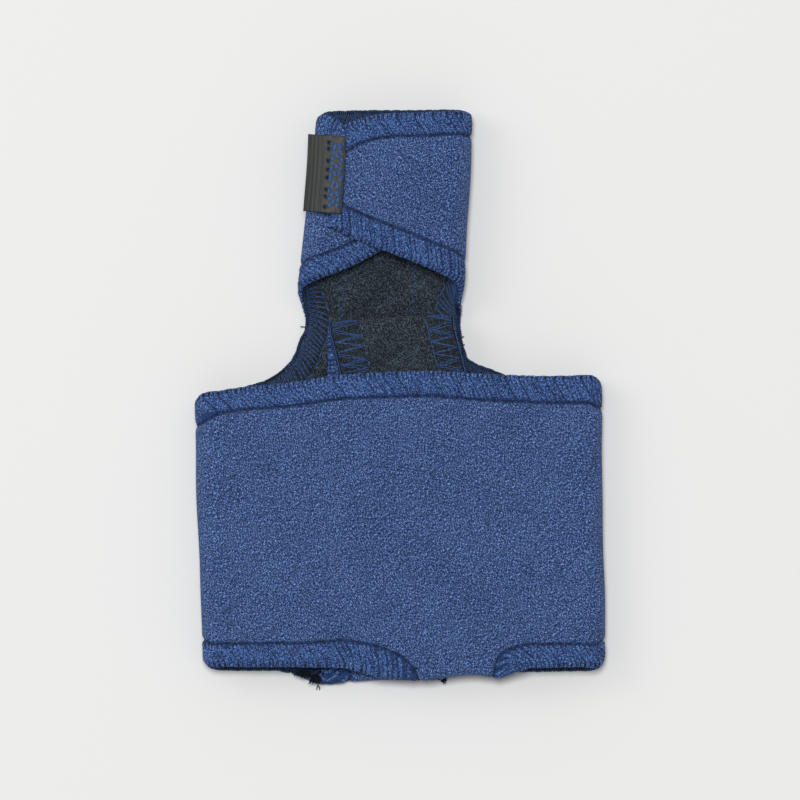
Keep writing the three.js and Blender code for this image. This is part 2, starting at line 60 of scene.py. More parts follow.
MM = 0.001
BODY = "root"
LEFT, RIGHT = -1, 1
BAND_LOW, BAND_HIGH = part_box("foot_band")
TAB_LOW, TAB_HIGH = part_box("hook_tab")

# Laminate and its overlocked border
LAMINATE = 2.6 * MM
BORDER = 5.8 * MM  # from the cut edge to the needle line, where nothing is trimmed
CUT_EDGE = 1.7 * MM  # thickness at the cut edge, squeezed by the thread
TUCK = 1.1 * MM  # how far the thread and the rounded edge stand out past the middle surface
BORDER_PRESS = 0.35 * MM  # how much thinner the border is than the rest
LAP = 3 * MM  # how far one sewn edge runs on into the next
NEEDLE_DIP = 0.75 * MM  # how much thinner the laminate is under the needle line
NEEDLE_SPREAD = 0.7 * MM  # how far to each side the needle line pulls the faces in
EDGE_ROUND = 2.2 * MM  # width over which the edge swells to the full laminate

# How much of the border the cutter trimmed off along an edge, from its start to its end
TOE_END_TRIM = (1.2 * MM, 0.2 * MM, -0.6 * MM)
LOW_TRIM = {LEFT: (-0.2 * MM, 1.05 * MM), RIGHT: (-0.2 * MM, 0)}
HIGH_TRIM = (0.6 * MM, 0.8 * MM)
TIP_TRIM = {LEFT: (0.6 * MM, 0.6 * MM), RIGHT: (3.2 * MM, 2.8 * MM)}
# The same for a heel edge: at the side fold, by the strap, at the joint, on the strap and at its fold
HEEL_TRIM = {
    LEFT: (0.9 * MM, 0.4 * MM, -0.9 * MM, -1 * MM, -1.6 * MM),
    RIGHT: (0.9 * MM, 0.65 * MM, 0.5 * MM, 0.2 * MM, -0.7 * MM),
}
HEEL_TRIM_PLACES = (-14 * MM, 0, 6 * MM)  # of the three in the middle, from the joint

# Layers that lie on each other
PLAY = 0.3 * MM
STRAP_SPRING = 1 * MM  # how far the strap's fold holds its two runs apart
HEEL_ROOM = 1.1 * MM  # free height over the strap at the heel end
TOE_ROOM = 6 * MM  # free height inside the toe loop

# Foot band
BACK_OVERHANG = 0.6 * MM  # of the back panel beyond the front at the heel end
JOIN_DEPTH = 3.5 * MM  # the neck joins the back panel this far behind the front's edge
CORNER_PULL = 1.6 * MM  # how far the thread draws the edge in where it rounds a fold
CORNER_SHARPNESS = 6  # the higher, the shorter the stretch that is drawn in
HEEL_BLEND = 4 * MM  # stretch beside the strap over which the heel edge runs into it
BAND_LEAN = 1.7 * MM  # how far the band's middle drifts to the right, from its toe end to its heel end
TOE_EDGE = BAND_HIGH[1]
BACK_HEEL_EDGE = BAND_LOW[1]
HEEL_EDGE = BACK_HEEL_EDGE + BACK_OVERHANG
BAND_LENGTH = TOE_EDGE - HEEL_EDGE
BAND_WIDTH = BAND_HIGH[0] - BAND_LOW[0] - 2 * BAND_LEAN / 3
BAND_TAPER = (0.014, 0.004)  # how much narrower the cloth lies at the heel and at the toe end, as shares

# Neck and toe loop
NECK_WIDTH = 40.5 * MM
NECK_LENGTH = 21.5 * MM
NECK_SHIFT = -3.95 * MM  # the neck's middle line, from the band's middle
FLARE_WIDTH = 14 * MM  # how far the neck spreads on each side where it meets the band
LOOP_LENGTH = 49.3 * MM
LOOP_ROOT_WIDTH = 43.6 * MM
LOOP_END_WIDTH = 39.6 * MM
LOOP_LEAN = 3.4 * MM  # how far the loop's middle drifts to the right over its length
LOOP_TIGHT = {LEFT: (0, 0), RIGHT: (0.7 * MM, -0.1 * MM)}  # how much narrower, at its root and far edge
LOOP_CORNER = {LEFT: 1.3 * MM, RIGHT: 0.9 * MM}  # how far the far edge is drawn in where a wing bends
LOOP_CORNER_SHARPNESS = 4
CURL_LENGTH = 6.5 * MM  # stretch of the neck over which its rims curl up into the wings
OUTER_WING_REACH = 28.6 * MM
INNER_WING_REACH = 23 * MM
NECK_JOIN = TOE_EDGE - JOIN_DEPTH
WING_ROOT = NECK_JOIN + NECK_LENGTH

# Heel strap
STRAP_WIDTH = 33 * MM
STRAP_REACH = 13.6 * MM  # how far the folded strap stands out of the band's toe end
STRAP_FRONT_SHIFT = 12.6 * MM  # its middle where it leaves the front, from the band's middle
STRAP_FOLD_SHIFT = -1.2 * MM  # the same at the fold inside
STRAP_BACK_SHIFT = -5 * MM  # the same where it joins the back
STRAP_FOLD_SKEW = 1.8 * MM  # how much higher the fold's right end lies than its left end
STRAP_FLARES = {LEFT: 9 * MM, RIGHT: 1 * MM}
STRAP_FLARE_LENGTH = 4.8 * MM
STRAP_BOW = 1.25  # above 1, the upper run leans more towards its fold
LOWER_RUN_SHIFT = -0.4 * MM  # of the lower run to the left, by the fold

# Tables, in shares of the sizes above: the front's edge at the toe end, how far the strap's bends at
# the heel stand out, the neck's rims from the band up, and the wings' edges from their root out
FRONT_TOE_EDGE = {
    "across": (-1, -0.76, -0.53, -0.27, 0, 0.3, 0.46, 1),
    "drop": (0.08, 0.055, 0.036, 0.009, 0, 0.002, 0.008, 0.011),
}
FRONT_BEND = {
    "across": (-0.5, -0.2, -0.05, 0.05, 0.2, 0.26, 0.32, 0.37, 0.41, 0.45, 0.5),
    "bulge": (1.05, 1.05, 0.68, 0.45, 0.38, 0.55, 0.85, 0.68, 0.35, 0.08, -0.3),
}
BACK_BEND = {
    "across": (-0.75, -0.66, -0.59, -0.53, -0.4, -0.3, -0.2, 0.35, 0.45, 0.5),
    "bulge": (1, 1, 1.12, 1.5, 1.45, 1.15, 1, 1, 0.9, 0.8),
}
NECK_RIMS = {
    "rise": (0, 0.07, 0.14, 0.2, 0.28, 0.37, 0.5, 0.65, 0.8, 1),
    "left": (0.8, 0.6, 0.46, 0.35, 0.25, 0.17, 0.1, -0.02, -0.04, 0.06),
    "right": (1.05, 0.88, 0.64, 0.38, 0.17, 0.11, 0.06, 0.03, 0.03, 0.14),
}
OUTER_WING_EDGES = {
    "along": (0, 0.09, 0.27, 0.45, 0.62, 0.78, 0.9, 1),
    "low": (0, 0.055, 0.132, 0.19, 0.242, 0.293, 0.335, 0.371),
    "high": (0.991, 0.985, 0.978, 0.974, 0.97, 0.95, 0.92, 0.87),
}
INNER_WING_EDGES = {
    "along": (0, 0.1, 0.2, 0.3, 0.45, 0.65, 0.83, 1),
    "low": (0, 0.05, 0.08, 0.11, 0.15, 0.215, 0.285, 0.36),
    "high": (0.991, 0.985, 0.957, 0.915, 0.87, 0.824, 0.792, 0.77),
}

# Heights of the middle surfaces
BACK_LEVEL = LAMINATE / 2
LOWER_RUN_LEVEL = BACK_LEVEL + LAMINATE + PLAY
UPPER_RUN_LEVEL = LOWER_RUN_LEVEL + LAMINATE + STRAP_SPRING
BAND_SIDE_LEVEL = UPPER_RUN_LEVEL + LAMINATE + PLAY
TOE_END_LEVEL = BAND_HIGH[2] - LAMINATE / 2
HEEL_END_LEVEL = UPPER_RUN_LEVEL + LAMINATE + HEEL_ROOM
SIDE_RADIUS = (BAND_SIDE_LEVEL - BACK_LEVEL) / 2
PANEL_REACH = BAND_WIDTH / 2 - SIDE_RADIUS - LAMINATE / 2
HALF_ROUND = 2 * PANEL_REACH + math.pi * SIDE_RADIUS  # from the front's middle to the back's
FOLD_MIDDLE = PANEL_REACH + math.pi * SIDE_RADIUS / 2

# Heel strap's route: bend, upper run, fold, lower run, bend
FOLD_RADIUS = (UPPER_RUN_LEVEL - LOWER_RUN_LEVEL) / 2
FRONT_BEND_RADIUS = (HEEL_END_LEVEL - UPPER_RUN_LEVEL) / 2
BACK_BEND_RADIUS = (LOWER_RUN_LEVEL - BACK_LEVEL) / 2
FOLD_Y = TOE_EDGE + STRAP_REACH - FOLD_RADIUS - LAMINATE / 2
STRAP_STAGES = np.cumsum(
    [
        0,
        math.pi * FRONT_BEND_RADIUS,
        FOLD_Y - HEEL_EDGE,
        math.pi * FOLD_RADIUS,
        FOLD_Y - BACK_HEEL_EDGE,
        math.pi * BACK_BEND_RADIUS,
    ]
)
STRAP_LENGTH = STRAP_STAGES[-1]

FINE = 0.45 * MM  # mesh step inside a border
COARSE = 0.85 * MM  # mesh step elsewhere
LOOP_STEP = 1.3 * FINE  # mesh step on the loop, which has borders all round
FINE_REACH = BORDER + 1.8 * MM  # from a sewn edge, where the mesh is fine


def curve(at, places, values):
    """Smooth curve through a table's values, read at any places."""
    places, values = np.asarray(places, float), np.asarray(values, float)
    slopes = np.gradient(values, places)
    at = np.clip(at, places[0], places[-1])
    k = np.clip(np.searchsorted(places, at) - 1, 0, len(places) - 2)
    width = places[k + 1] - places[k]
    t = (at - places[k]) / width
    level = values[k] * (1 + 2 * t) * (1 - t) ** 2 + values[k + 1] * t * t * (3 - 2 * t)
    return level + width * (slopes[k] * t * (1 - t) ** 2 - slopes[k + 1] * t * t * (1 - t))


def smoothstep(value, low, high):
    """0 below low, 1 above high, and a smooth rise between them."""
    t = np.clip((value - low) / (high - low), 0, 1)
    return t * t * (3 - 2 * t)


def vectors(x, y, z):
    """Vectors from coordinates that are arrays or numbers."""
    return np.stack(np.broadcast_arrays(x, y, z), axis=-1).astype(float)


def unit(v):
    return v / np.maximum(np.linalg.norm(v, axis=-1, keepdims=True), 1e-12)


def pairs(first, second):
    """Two rows of numbers as one row of pairs."""
    return np.stack([first, second], axis=1)


def grid(across, along):
    return np.meshgrid(across, along, indexing="ij")


def choose(first, a, b):
    """Places (middle, normal) from a where first is true, else from b."""
    return tuple(np.where(np.asarray(first)[..., None], one, other) for one, other in zip(a, b))


def samples(start, end, step=0.4 * MM):
    return np.linspace(start, end, max(int(abs(end - start) / step), 2))


# Middle surface of the band


def band_middle(y):
    """Where the band's middle lies across, at a place along it."""
    return BAND_LEAN * ((TOE_EDGE - y) / BAND_LENGTH - 0.5)


def band_place(run, y):
    """Place on the band at a run round it, from the middle of its front towards the right."""
    side, far = np.sign(run), np.abs(run)
    turn = np.clip((far - PANEL_REACH) / SIDE_RADIUS, 0, np.pi)
    beyond = np.maximum(far - PANEL_REACH - np.pi * SIDE_RADIUS, 0)
    x = np.minimum(far, PANEL_REACH) + SIDE_RADIUS * np.sin(turn) - beyond
    towards_toe = smoothstep(y, HEEL_EDGE, TOE_EDGE)
    x = x * (1 - BAND_TAPER[0] + (BAND_TAPER[0] - BAND_TAPER[1]) * towards_toe)
    rise = HEEL_END_LEVEL + (TOE_END_LEVEL - HEEL_END_LEVEL) * towards_toe - BAND_SIDE_LEVEL
    angle = np.pi / 2 * np.clip(run / PANEL_REACH, -1, 1)
    z = BACK_LEVEL + SIDE_RADIUS * (1 + np.cos(turn)) + rise * np.cos(angle) ** 2
    slope = -rise * np.sin(2 * angle) * np.pi / (2 * PANEL_REACH)
    normal = vectors(side * np.sin(turn) - slope, 0 * x, np.cos(turn))
    return vectors(band_middle(y) + side * x, y, z), unit(normal)


def front_toe_edge(x):
    return TOE_EDGE - TUCK - BAND_LENGTH * curve(x / (BAND_WIDTH / 2), *FRONT_TOE_EDGE.values())


def neck_rim(y, side):
    """Distance of the neck's rim from the neck's middle line."""
    rise = (y - NECK_JOIN) / NECK_LENGTH
    column = NECK_RIMS["left" if side < 0 else "right"]
    return NECK_WIDTH / 2 + FLARE_WIDTH * curve(rise, NECK_RIMS["rise"], column) - TUCK


def fold_share(run):
    """How far round the fold a run lies: 0 at the front, 1 at the back."""
    return np.clip((np.abs(run) - PANEL_REACH) / (np.pi * SIDE_RADIUS), 0, 1)


def corner_pull(run):
    return CORNER_PULL * np.sin(np.pi * fold_share(run)) ** CORNER_SHARPNESS


def around(across):
    """Run round the band of a place across its back, or the other way about."""
    return np.where(across < 0, LEFT, RIGHT) * (HALF_ROUND - np.abs(across))


def toe_edge(run):
    """The band's edge at the toe end, at a run round it."""
    front = front_toe_edge(np.clip(run, -PANEL_REACH, PANEL_REACH))
    corner = front_toe_edge(np.sign(run) * BAND_WIDTH / 2)
    across = around(run)
    neck_ends = (neck_rim(NECK_JOIN, side) + side * NECK_SHIFT for side in (LEFT, RIGHT))
    neck_end = np.where(across < NECK_SHIFT, *neck_ends)
    share = np.clip((np.abs(across) - neck_end) / (PANEL_REACH - neck_end), 0, 1)
    back = NECK_JOIN + (corner - NECK_JOIN) * share
    return np.where(fold_share(run) < 1, front + (corner - front) * fold_share(run), back) - corner_pull(run)


def strap_rim(down, side):
    """Half width of the strap on one side, at a run from its joint with the front."""
    from_band = np.minimum(down, STRAP_LENGTH - down)
    flare = np.where(np.asarray(side) < 0, STRAP_FLARES[LEFT], STRAP_FLARES[RIGHT])
    return STRAP_WIDTH / 2 - TUCK + flare * np.clip(1 - from_band / STRAP_FLARE_LENGTH, 0, 1) ** 2


def heel_edge(run):
    """The band's edge at the heel end. It runs straight on into the strap's rims."""
    on_front = fold_share(run) < 0.5
    from_strap = np.where(on_front, run - STRAP_FRONT_SHIFT, around(run) - STRAP_BACK_SHIFT)
    beside = smoothstep(np.abs(from_strap) - strap_rim(0, from_strap), 0, HEEL_BLEND)
    level = HEEL_EDGE + (BACK_HEEL_EDGE - HEEL_EDGE) * fold_share(run)
    return level + TUCK * beside * (1 - 0.5 * fold_share(run)) + corner_pull(run)


# Middle surface of the heel strap


def strap_place(x, down):
    """Place on the strap at a distance from its middle line and a run from the front panel."""
    x, down = np.broadcast_arrays(np.asarray(x, float), np.asarray(down, float))
    bend1, upper, fold, lower, bend2 = (
        np.clip((down - start) / (end - start), 0, 1) for start, end in zip(STRAP_STAGES, STRAP_STAGES[1:])
    )
    front_x, fold_x, back_x = (
        band_middle(HEEL_EDGE) + STRAP_FRONT_SHIFT,
        band_middle(TOE_EDGE) + STRAP_FOLD_SHIFT,
        band_middle(HEEL_EDGE) + STRAP_BACK_SHIFT,
    )
    middle_x = front_x + (fold_x - front_x) * upper**STRAP_BOW + (back_x - fold_x) * lower
    middle_x += LOWER_RUN_SHIFT * fold * (1 - lower)
    fold_at = FOLD_Y + x / STRAP_WIDTH * STRAP_FOLD_SKEW
    across = np.clip((x + STRAP_FRONT_SHIFT) / PANEL_REACH, -1, 1)
    front_level = BAND_SIDE_LEVEL + (HEEL_END_LEVEL - BAND_SIDE_LEVEL) * np.cos(np.pi / 2 * across) ** 2
    first_radius = (front_level - UPPER_RUN_LEVEL) / 2
    front_bulge = first_radius * curve(x / STRAP_WIDTH, *FRONT_BEND.values())
    back_bulge = BACK_BEND_RADIUS * curve(x / STRAP_WIDTH, *BACK_BEND.values())
    y = HEEL_EDGE - front_bulge * np.sin(np.pi * bend1) + (fold_at - HEEL_EDGE) * upper
    y += FOLD_RADIUS * np.sin(np.pi * fold) + (BACK_HEEL_EDGE - fold_at) * lower
    y -= back_bulge * np.sin(np.pi * bend2)
    z = front_level - first_radius * (1 - np.cos(np.pi * bend1))
    z -= FOLD_RADIUS * (1 - np.cos(np.pi * fold)) + BACK_BEND_RADIUS * (1 - np.cos(np.pi * bend2))
    turn = np.pi * (bend1 - fold + bend2)
    return vectors(x + middle_x, y, z), vectors(0 * x, -np.sin(turn), np.cos(turn))


# Middle surface of the neck and the toe loop

ROOT_BLEND = 0.1  # share of a wing over which its low edge leaves the neck's rim


class Wing:
    """One wing: the side it leaves the neck on, its level over the toe and its edges."""

    def __init__(self, side, level, reach, edges):
        self.side, self.edges = side, edges
        self.radius = (level - BACK_LEVEL) / 2
        self.rim = neck_rim(WING_ROOT, side)
        self.tip = self.sole(WING_ROOT) + math.pi * self.radius + reach - TUCK

    def sole(self, y):
        """Run at which the flat sole ends and the bend begins."""
        share = np.clip((y - WING_ROOT) / LOOP_LENGTH, 0, 1)
        half = (LOOP_ROOT_WIDTH + (LOOP_END_WIDTH - LOOP_ROOT_WIDTH) * share) / 2
        at_root, at_far_edge = LOOP_TIGHT[self.side]
        tight = at_root * (1 - share) + at_far_edge * share
        return half - self.radius - LAMINATE / 2 - tight

    def edge(self, run, column):
        """Where the wing's low or high edge lies, at a run from the neck's middle line."""
        along = np.clip((run - self.rim) / (self.tip - self.rim), 0, 1)
        level = WING_ROOT + LOOP_LENGTH * curve(along, self.edges["along"], self.edges[column])
        if column == "low":
            return level + TUCK * np.minimum(along / ROOT_BLEND, 1)
        bend = np.clip((run - self.sole(level)) / (np.pi * self.radius), 0, 1)
        return level - TUCK - LOOP_CORNER[self.side] * np.sin(np.pi * bend) ** LOOP_CORNER_SHARPNESS

    def area(self):
        """Flat area of the wing, from the neck's middle line to its tip."""
        run = samples(0, self.tip)
        return self.tip * np.mean(self.edge(run, "high") - self.edge(run, "low"))

    def place(self, run, y):
        """Place at a run from the neck's middle line: flat, round the bend, then back over the toe."""
        run, y = np.broadcast_arrays(np.asarray(run, float), np.asarray(y, float))
        curl = np.maximum(smoothstep(y, WING_ROOT - CURL_LENGTH, WING_ROOT), 1e-3)
        radius = self.radius / curl
        over = np.maximum(run - self.sole(y), 0)
        turn = np.minimum(over / radius, np.pi)
        beyond = np.maximum(over - np.pi * radius, 0)
        reach = np.minimum(run, self.sole(y)) + radius * np.sin(turn) - beyond
        middle_x = band_middle(TOE_EDGE) + NECK_SHIFT
        middle_x = middle_x + LOOP_LEAN * np.clip((y - WING_ROOT) / LOOP_LENGTH, 0, 1)
        middle = vectors(middle_x + self.side * reach, y, BACK_LEVEL + radius * (1 - np.cos(turn)))
        return middle, vectors(self.side * np.sin(turn), 0 * turn, -np.cos(turn))


INNER_WING_LEVEL = BACK_LEVEL + LAMINATE + TOE_ROOM
WINGS = {
    LEFT: Wing(LEFT, INNER_WING_LEVEL, INNER_WING_REACH, INNER_WING_EDGES),
    RIGHT: Wing(RIGHT, INNER_WING_LEVEL + LAMINATE + PLAY, OUTER_WING_REACH, OUTER_WING_EDGES),
}


def loop_place(x, y):
    """Place on the neck and wings at a signed run from the neck's middle line."""
    return choose(x < 0, WINGS[LEFT].place(-x, y), WINGS[RIGHT].place(x, y))


# The flat laminate: the band's front with one end of the strap, and its back with the neck, the
# wings and the strap's other end, each opened out flat


def front_sheet(x, y):
    """Place of a flat point on the front. x is the run round the band from the front's middle."""
    on_band = band_place(x, np.maximum(y, HEEL_EDGE))
    return choose(y < HEEL_EDGE, strap_place(x - STRAP_FRONT_SHIFT, HEEL_EDGE - y), on_band)


def back_sheet(x, y):
    """Place of a flat point on the back. x is measured from the neck's middle line."""
    across = x + NECK_SHIFT
    on_band = band_place(around(across), y)
    on_strap = strap_place(across - STRAP_BACK_SHIFT, STRAP_LENGTH - (BACK_HEEL_EDGE - y))
    in_neck = (y > NECK_JOIN) & ((np.abs(across) < PANEL_REACH / 2) | (y > TOE_EDGE))
    return choose(in_neck, loop_place(x, y), choose(y < BACK_HEEL_EDGE, on_strap, on_band))


class Outline:
    """A sewn edge on a flat sheet: points one step apart, with the way inward and what is trimmed."""

    STEP = 0.5 * MM
    FEWEST = 8  # steps
    CHUNK = 4000  # points measured at a time, which spares memory

    def __init__(self, points, sheet, inward_left, laps, trims):
        points = np.asarray(points, float)
        lengths = np.append(0, np.cumsum(np.linalg.norm(np.diff(points, axis=0), axis=1)))
        at = np.linspace(0, lengths[-1], max(int(lengths[-1] / self.STEP), self.FEWEST))
        self.points = pairs(*(np.interp(at, lengths, column) for column in points.T))
        self.run, self.length, self.sheet = at, lengths[-1], sheet
        has_places = np.ndim(trims) == 2
        places, values = trims if has_places else (np.linspace(0, self.length, len(trims)), trims)
        self.trims = np.interp(at, places, values)
        self.start, self.end = laps[0], lengths[-1] - laps[1]
        self.hand = 1 if inward_left == (sheet is front_sheet) else -1
        along = self.softened(np.gradient(self.points, axis=0))
        inward = pairs(-along[:, 1], along[:, 0])
        self.inward = unit(inward if inward_left else -inward)

    @staticmethod
    def softened(values, reach=5):
        """Values averaged over their neighbours, which takes the corners out of a direction."""
        padded = np.pad(values, ((reach, reach), (0, 0)), mode="edge")
        kernel = np.hanning(2 * reach + 3)[1:-1]
        return pairs(*(np.convolve(column, kernel / kernel.sum(), "valid") for column in padded.T))

    def trim(self, run):
        return np.interp(run, self.run, self.trims)

    def at(self, run, depth):
        """Flat point at a run along the edge, and at a depth that counts what was trimmed off."""
        run, depth = np.broadcast_arrays(run, depth)
        depth = np.maximum(depth - self.trim(run), 0)
        point, inward = (
            [np.interp(run, self.run, column) for column in rows.T] for rows in (self.points, self.inward)
        )
        return point[0] + inward[0] * depth, point[1] + inward[1] * depth

    def distance(self, x, y):
        """Distance of flat points from the edge, and what was trimmed off there."""
        flat = pairs(np.ravel(x), np.ravel(y))
        found = np.empty(len(flat))
        for start in range(0, len(flat), self.CHUNK):
            part = slice(start, start + self.CHUNK)
            apart = ((flat[part, None, :] - self.points[None]) ** 2).sum(axis=2)
            found[part] = np.sqrt(apart.min(axis=1)) + self.trims[apart.argmin(axis=1)]
        return np.maximum(found, 0).reshape(np.shape(x))


def heel_trims(to_joint, length, side):
    """Trims of a heel edge at places along it, for a joint with the strap at a run."""
    return (0, *(to_joint + place for place in HEEL_TRIM_PLACES), length), HEEL_TRIM[side]


def heel_outline(sheet, side, x, y, strap_shift, strap_start, origin=(0, 0)):
    """Sewn heel edge through x and y, on into the rim of the strap's nearer half."""
    down = samples(0, STRAP_LENGTH / 2 + LAP)
    rim = pairs(strap_shift + side * strap_rim(down, side), strap_start - down)
    points = np.concatenate([pairs(x, y), rim[1:]]) - origin
    to_joint = abs(x[-1] - x[0])
    trims = heel_trims(to_joint, to_joint + down[-1], side)
    return Outline(points, sheet, inward_left=side < 0, laps=(LAP, LAP), trims=trims)


def front_outlines():
    """Sewn edges of the front: its toe end, and its heel end down into the strap's rims."""
    x = samples(-FOLD_MIDDLE - LAP, FOLD_MIDDLE + LAP)
    toe = pairs(x, toe_edge(x))
    made = [Outline(toe, front_sheet, inward_left=False, laps=(LAP, LAP), trims=TOE_END_TRIM)]
    for side in (LEFT, RIGHT):
        x = samples(side * (FOLD_MIDDLE + LAP), STRAP_FRONT_SHIFT + side * strap_rim(0, side))
        made.append(heel_outline(front_sheet, side, x, heel_edge(x), STRAP_FRONT_SHIFT, HEEL_EDGE))
    return made


def loop_outlines():
    """Sewn edges of the back at the toe end: up the neck and along each wing, its tip, and back."""
    made = []
    for side, wing in WINGS.items():
        neck_end = NECK_SHIFT + side * neck_rim(NECK_JOIN, side)
        across = samples(side * (HALF_ROUND - FOLD_MIDDLE + LAP), neck_end)
        panel = pairs(across - NECK_SHIFT, toe_edge(around(across)))
        rise = samples(NECK_JOIN, WING_ROOT)
        rim = pairs(side * neck_rim(rise, side), rise)
        out = samples(wing.rim, wing.tip)
        low = pairs(side * out, wing.edge(out, "low"))
        high = pairs(side * out[::-1], wing.edge(out[::-1], "high"))
        end = pairs([side * wing.tip] * 2, [low[-1, 1], high[0, 1]])
        over = samples(wing.rim, -LAP)
        top = pairs(side * over, wing.edge(over, "high"))
        for points, laps, trims in (
            (np.concatenate([panel, rim[1:], low[1:]]), (LAP, 0), LOW_TRIM[side]),
            (end, (0, 0), TIP_TRIM[side]),
            (np.concatenate([high, top[1:]]), (0, LAP), HIGH_TRIM),
        ):
            made.append(Outline(points, back_sheet, inward_left=side > 0, laps=laps, trims=trims))
    return made


def back_heel_outlines():
    """Sewn edges of the back at the heel end, into the rims of the strap's lower run."""
    made = []
    for side in (LEFT, RIGHT):
        strap_end = STRAP_BACK_SHIFT + side * strap_rim(0, side)
        across = samples(side * (HALF_ROUND - FOLD_MIDDLE + LAP), strap_end)
        edge = across, heel_edge(around(across))
        made.append(
            heel_outline(back_sheet, side, *edge, STRAP_BACK_SHIFT, BACK_HEEL_EDGE, origin=(NECK_SHIFT, 0))
        )
    return made


FRONT_OUTLINES = front_outlines()
LOOP_OUTLINES = loop_outlines()
BACK_HEEL_OUTLINES = back_heel_outlines()
BACK_OUTLINES = LOOP_OUTLINES + BACK_HEEL_OUTLINES


def edge_distance(outlines, x, y):
    return np.min([outline.distance(x, y) for outline in outlines], axis=0)


def thickness_at(distance):
    """Thickness of the laminate at a distance from its nearest sewn edge."""
    swell = np.sin(np.pi / 2 * np.clip(distance / EDGE_ROUND, 0, 1))
    border = LAMINATE - BORDER_PRESS * (1 - smoothstep(distance, BORDER, BORDER + 2 * NEEDLE_SPREAD))
    needle = NEEDLE_DIP * np.exp(-(((distance - BORDER) / NEEDLE_SPREAD) ** 2) * 2)
    return CUT_EDGE + (border - CUT_EDGE) * swell - needle


EASE = (0.16 * MM, 0.14 * MM, 0.22 * MM)  # how far handled cloth strays across, along and up


def ease(points):
    """Uneven as handled cloth is, in waves of free lengths, and level where it rests on the table."""
    x, y, z = (points[..., k] for k in range(3))
    lift = np.sin(x / (17 * MM) + 0.8) * np.sin(y / (23 * MM) + 0.4)
    lift = lift + 0.6 * np.sin((x + 1.4 * y) / (11 * MM))
    aside = np.sin(y / (9 * MM) + 1.3) + 0.5 * np.sin(y / (4.1 * MM) + x / (31 * MM))
    along = np.sin(x / (8.3 * MM) + 0.6) + 0.5 * np.sin(x / (3.7 * MM) + y / (19 * MM))
    free = smoothstep(z, LAMINATE, 4 * LAMINATE)
    return points + vectors(EASE[0] * aside, EASE[1] * along, EASE[2] * lift * free)


# Meshes


def new_object(name, vertices, faces, materials, face_materials=None):
    mesh = bpy.data.meshes.new(name)
    mesh.from_pydata(np.asarray(vertices).tolist(), [], faces)
    for material in materials:
        mesh.materials.append(material)
    if face_materials is not None:
        mesh.polygons.foreach_set("material_index", np.asarray(face_materials, np.int32))
    mesh.polygons.foreach_set("use_smooth", np.ones(len(mesh.polygons), bool))
    mesh.validate()
    mesh.update()
    made = bpy.data.objects.new(name, mesh)
    bpy.context.scene.collection.objects.link(made)
    return made


def add_attribute(piece, name, kind, values):
    attribute = piece.data.attributes.new(name, kind, "POINT")
    key = "vector" if kind == "FLOAT_VECTOR" else "value"
    attribute.data.foreach_set(key, np.ascontiguousarray(values, np.float32).ravel())


